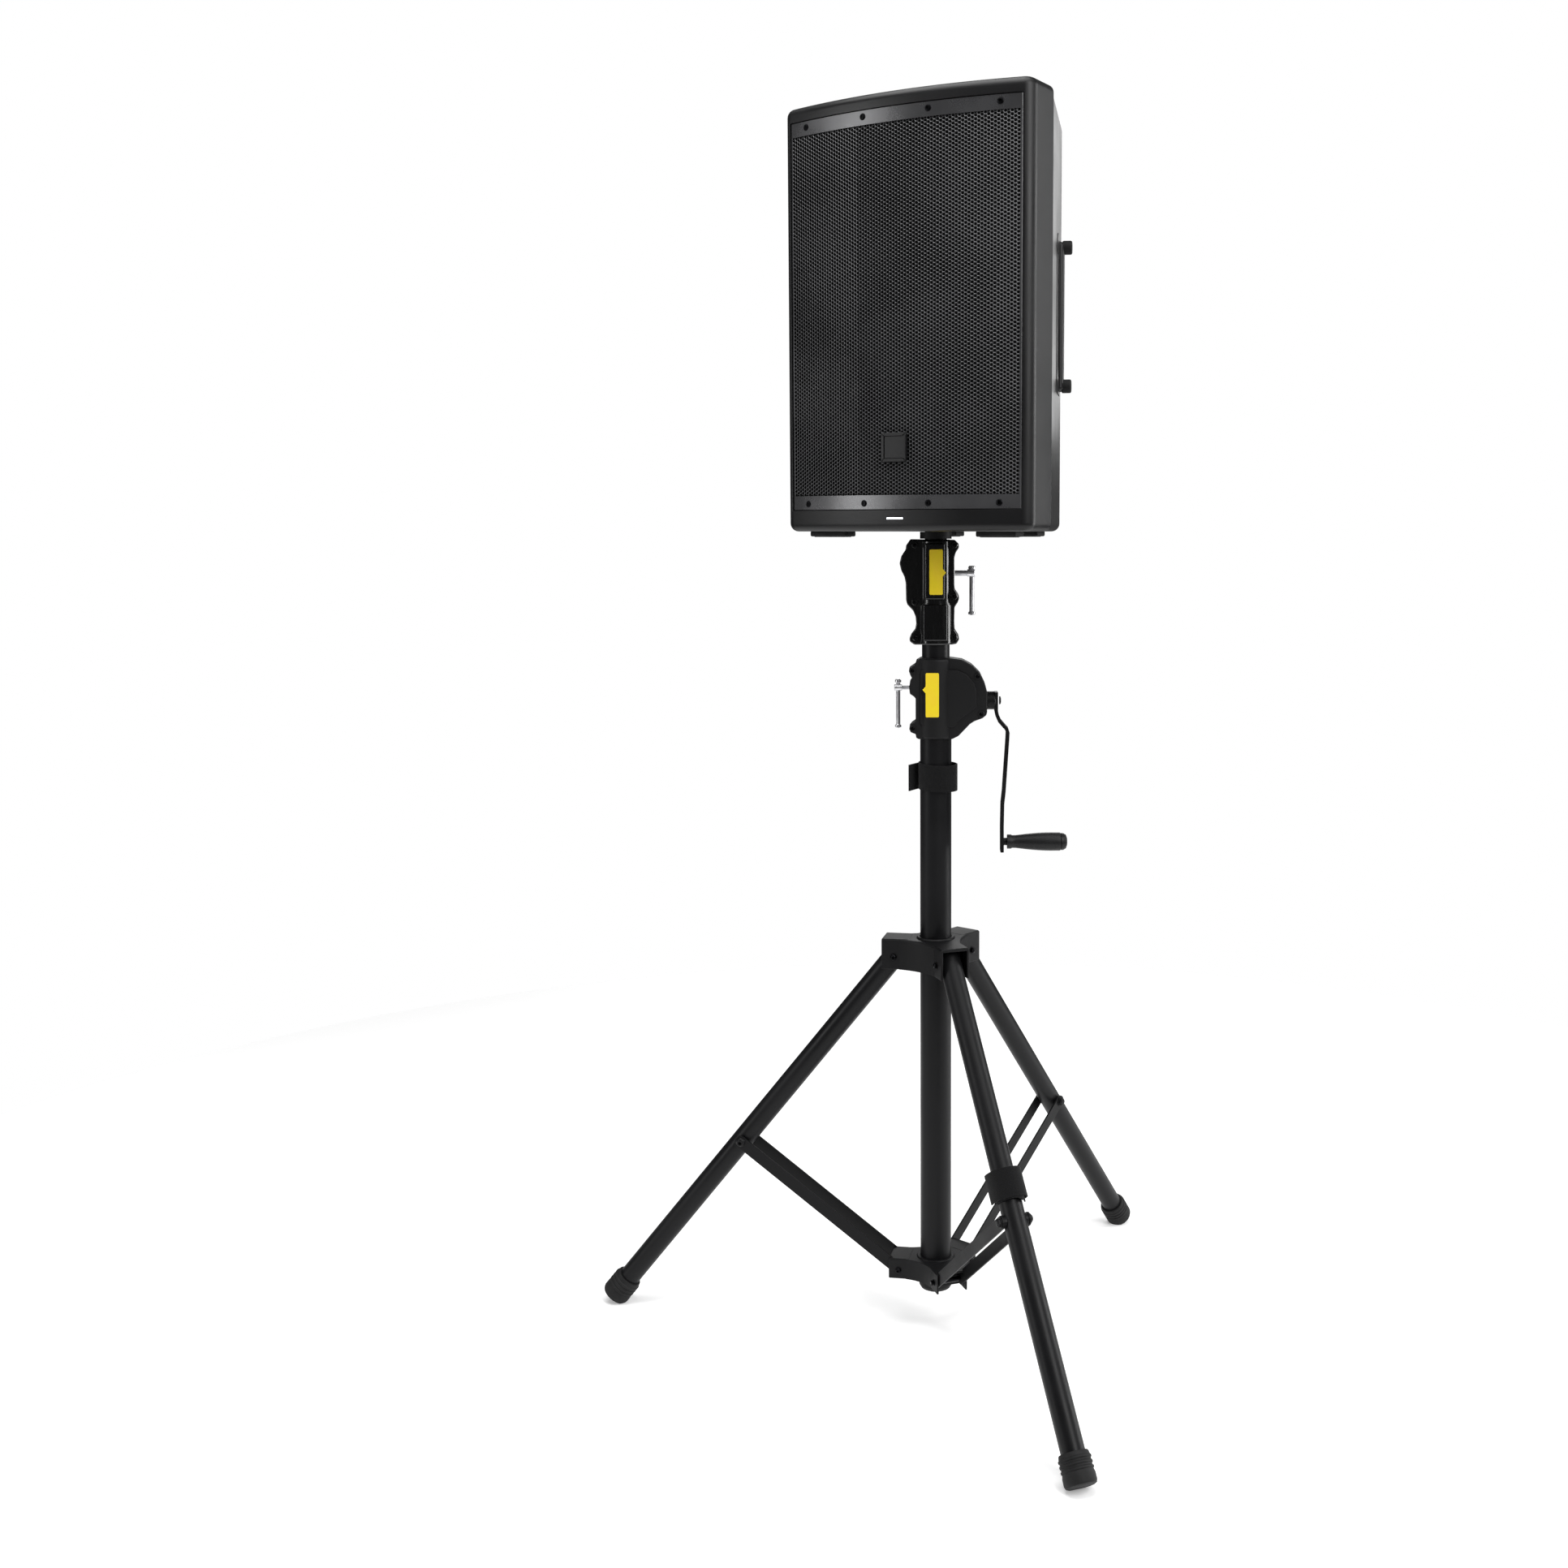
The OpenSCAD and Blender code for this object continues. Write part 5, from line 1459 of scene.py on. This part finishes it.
makePiece(
    "grilleUpper", grilleMesh(False), speakerFrame, "speaker", "grille_paint", ["grille"],
    weighted=False)
makePiece("grilleLower", grilleMesh(True), speakerFrame, "speaker", "grille_paint", weighted=False)
makePiece("grilleMargins", grilleFrame(), speakerFrame, "speaker", "grille_paint")
makePiece("grilleScrews", grilleScrews(), speakerFrame, "speaker", "black_screws", ["grille_screws"])
clothMesh, clothWide, clothTall = grilleCloth()
cloth = makePiece("grilleCloth", clothMesh, speakerFrame, "speaker", "grille_cloth", weighted=False)
clothWide / 1000
clothTall / 1000
print("grille ready")

makePiece("ampPanel", ampPanel(), speakerFrame, "speaker", "panel_paint", ["amp_panel"])
makePiece("ampScrews", joined(*ampScrews()), speakerFrame, "speaker", "black_screws")
makePiece("inputJacks", inputJacks(), speakerFrame, "speaker", "jack_plastic", ["input_jacks"])
for k, (body, node) in enumerate((("level_one", "level_knob_one"), ("level_two", "level_knob_two"))):
    knobMesh = levelKnob(amp["knobs"][k])
    makePiece("levelKnob" + str(k + 1), knobMesh, speakerFrame, body, "knob_plastic", [node])
makePiece("powerRocker", rocker(), speakerFrame, "switch", "knob_plastic", ["power_switch"])
print("panel ready")

for name in legNames:
    place = legFrame(name)
    leg, foot = name + "_leg", name + "_foot"
    makePiece(name + "Leg", legTube(), place, leg, "tube_paint", [leg])
    makePiece(name + "Foot", cutAtFloor(footShape(), place), Matrix(), leg, "soft_rubber", [foot])
    lobe = standFrame @ Matrix.Rotation(legTurn(name), 4, "Z")
    rise = Matrix.Rotation(math.radians(stand["strutRise"]), 4, "Y")
    strutPlace = lobe @ shift(stand["spreadOut"], 0, stand["spreadUp"]) @ rise
    makePiece(name + "Strut", strutBars(), strutPlace, name + "_strut", "bracket_paint", [name + "_strut"])
makePiece("legHub", legHub(), standFrame, "hub", "bracket_paint", ["leg_hub"])
boltMesh = crossBolts(stand["legOut"], stand["legUp"], 25, 5.4)
makePiece("legBolts", boltMesh, standFrame, "hub", "black_screws", ["leg_bolts"])
makePiece("spreaderHub", spreaderHub(), standFrame, "mast", "bracket_paint", ["spreader_hub"])
boltMesh = crossBolts(stand["spreadOut"], stand["spreadUp"], 27, 5.0)
makePiece("spreaderBolts", boltMesh, standFrame, "mast", "black_screws", ["spreader_bolts"])
makePiece("hubKnob", knobShape(), standFrame, "hub_knob", "winch_plastic", ["hub_lock_knob"])
print("legs ready")

makePiece("winchFront", winchCase(True), standFrame, "mast", "winch_plastic", ["winch_case_front"])
makePiece("winchRear", winchCase(False), standFrame, "mast", "winch_plastic", ["winch_case_rear"])
screwMesh = caseScrews(winch["screws"], winch["plateHalf"] + 0.4)
makePiece("winchScrews", screwMesh, standFrame, "mast", "black_screws", ["winch_screws"])
labelMesh = label(-16, 1008, 5, 1078, -21, 1046, 1057, winch["barrel"] + 0.5)
makePiece("winchLabel", labelMesh, standFrame, "mast", "label_print")
lowerBolt, lowerBar = tBolt(-1, 1052.5, 42, 54, 3.3, 5.3, 3.4, 60, 988, 1066)
makePiece("lowerScrew", lowerBolt, standFrame, "lower_screw", "bright_chrome", ["lower_clamp_screw"])
makePiece("lowerBar", lowerBar, standFrame, "lower_bar", "bright_chrome", ["lower_tommy_bar"])
crankShaft, crankArm = crankPieces()
makePiece("crankShaft", crankShaft, standFrame, "crank", "bracket_paint", ["crank_shaft"])
makePiece("crankArm", crankArm, standFrame, "crank", "bracket_paint", ["crank_arm"])
makePiece("crankGrip", gripShape(), standFrame, "crank_grip", "grip_plastic", ["crank_grip"])
print("winch ready")

makePiece("clampFront", clampCase(True), standFrame, "mid_tube", "clamp_plastic", ["clamp_case_front"])
makePiece("clampRear", clampCase(False), standFrame, "mid_tube", "clamp_plastic", ["clamp_case_rear"])
screwMesh = caseScrews(clamp["screws"], clamp["flange"] + 1)
makePiece("clampScrews", screwMesh, standFrame, "mid_tube", "black_screws", ["clamp_screws"])
labelMesh = label(-10, 1201, 11, 1272, 16, 1229.5, 1241.9, clamp["panelOut"] + 0.3)
makePiece("clampLabel", labelMesh, standFrame, "mid_tube", "label_print")
upperBolt, upperBar = tBolt(1, 1234.5, 30, 50, 4.5, 6.25, 3.8, 57, 1168, 1246)
makePiece("upperScrew", upperBolt, standFrame, "upper_screw", "bright_chrome", ["upper_clamp_screw"])
makePiece("upperBar", upperBar, standFrame, "upper_bar", "bright_chrome", ["upper_tommy_bar"])
print("clamp ready")

band, bandLong, bandWide = strap(25.2, 7, 0.4, 14, 890, 932, 1.32, math.radians(75))
mastStrap = makePiece(
    "mastStrap", band, standFrame, "mast", "strap_webbing", ["mast_strap"], weighted=False)
band, bandLong, bandWide = strap(17.7, 6, 2.2, 5, 340, 384, 1.5, math.radians(120))
legStrap = makePiece(
    "legStrap", band, legFrame("front") @ alongX, "front_leg", "strap_webbing", ["leg_strap"],
    weighted=False)
print("straps ready")

# the CAD nodes that stay take the same finishes
slotOf = {part["node"]: part["material_slot"] for part in frame["record"]["subparts"]}
for node, slot in slotOf.items():
    kept = bpy.data.objects.get(node)
    if kept and kept.type == "MESH" and not kept.hide_render:
        kept.data.materials.clear()
        kept.data.materials.append(finishes[slot])
print("kept nodes painted")
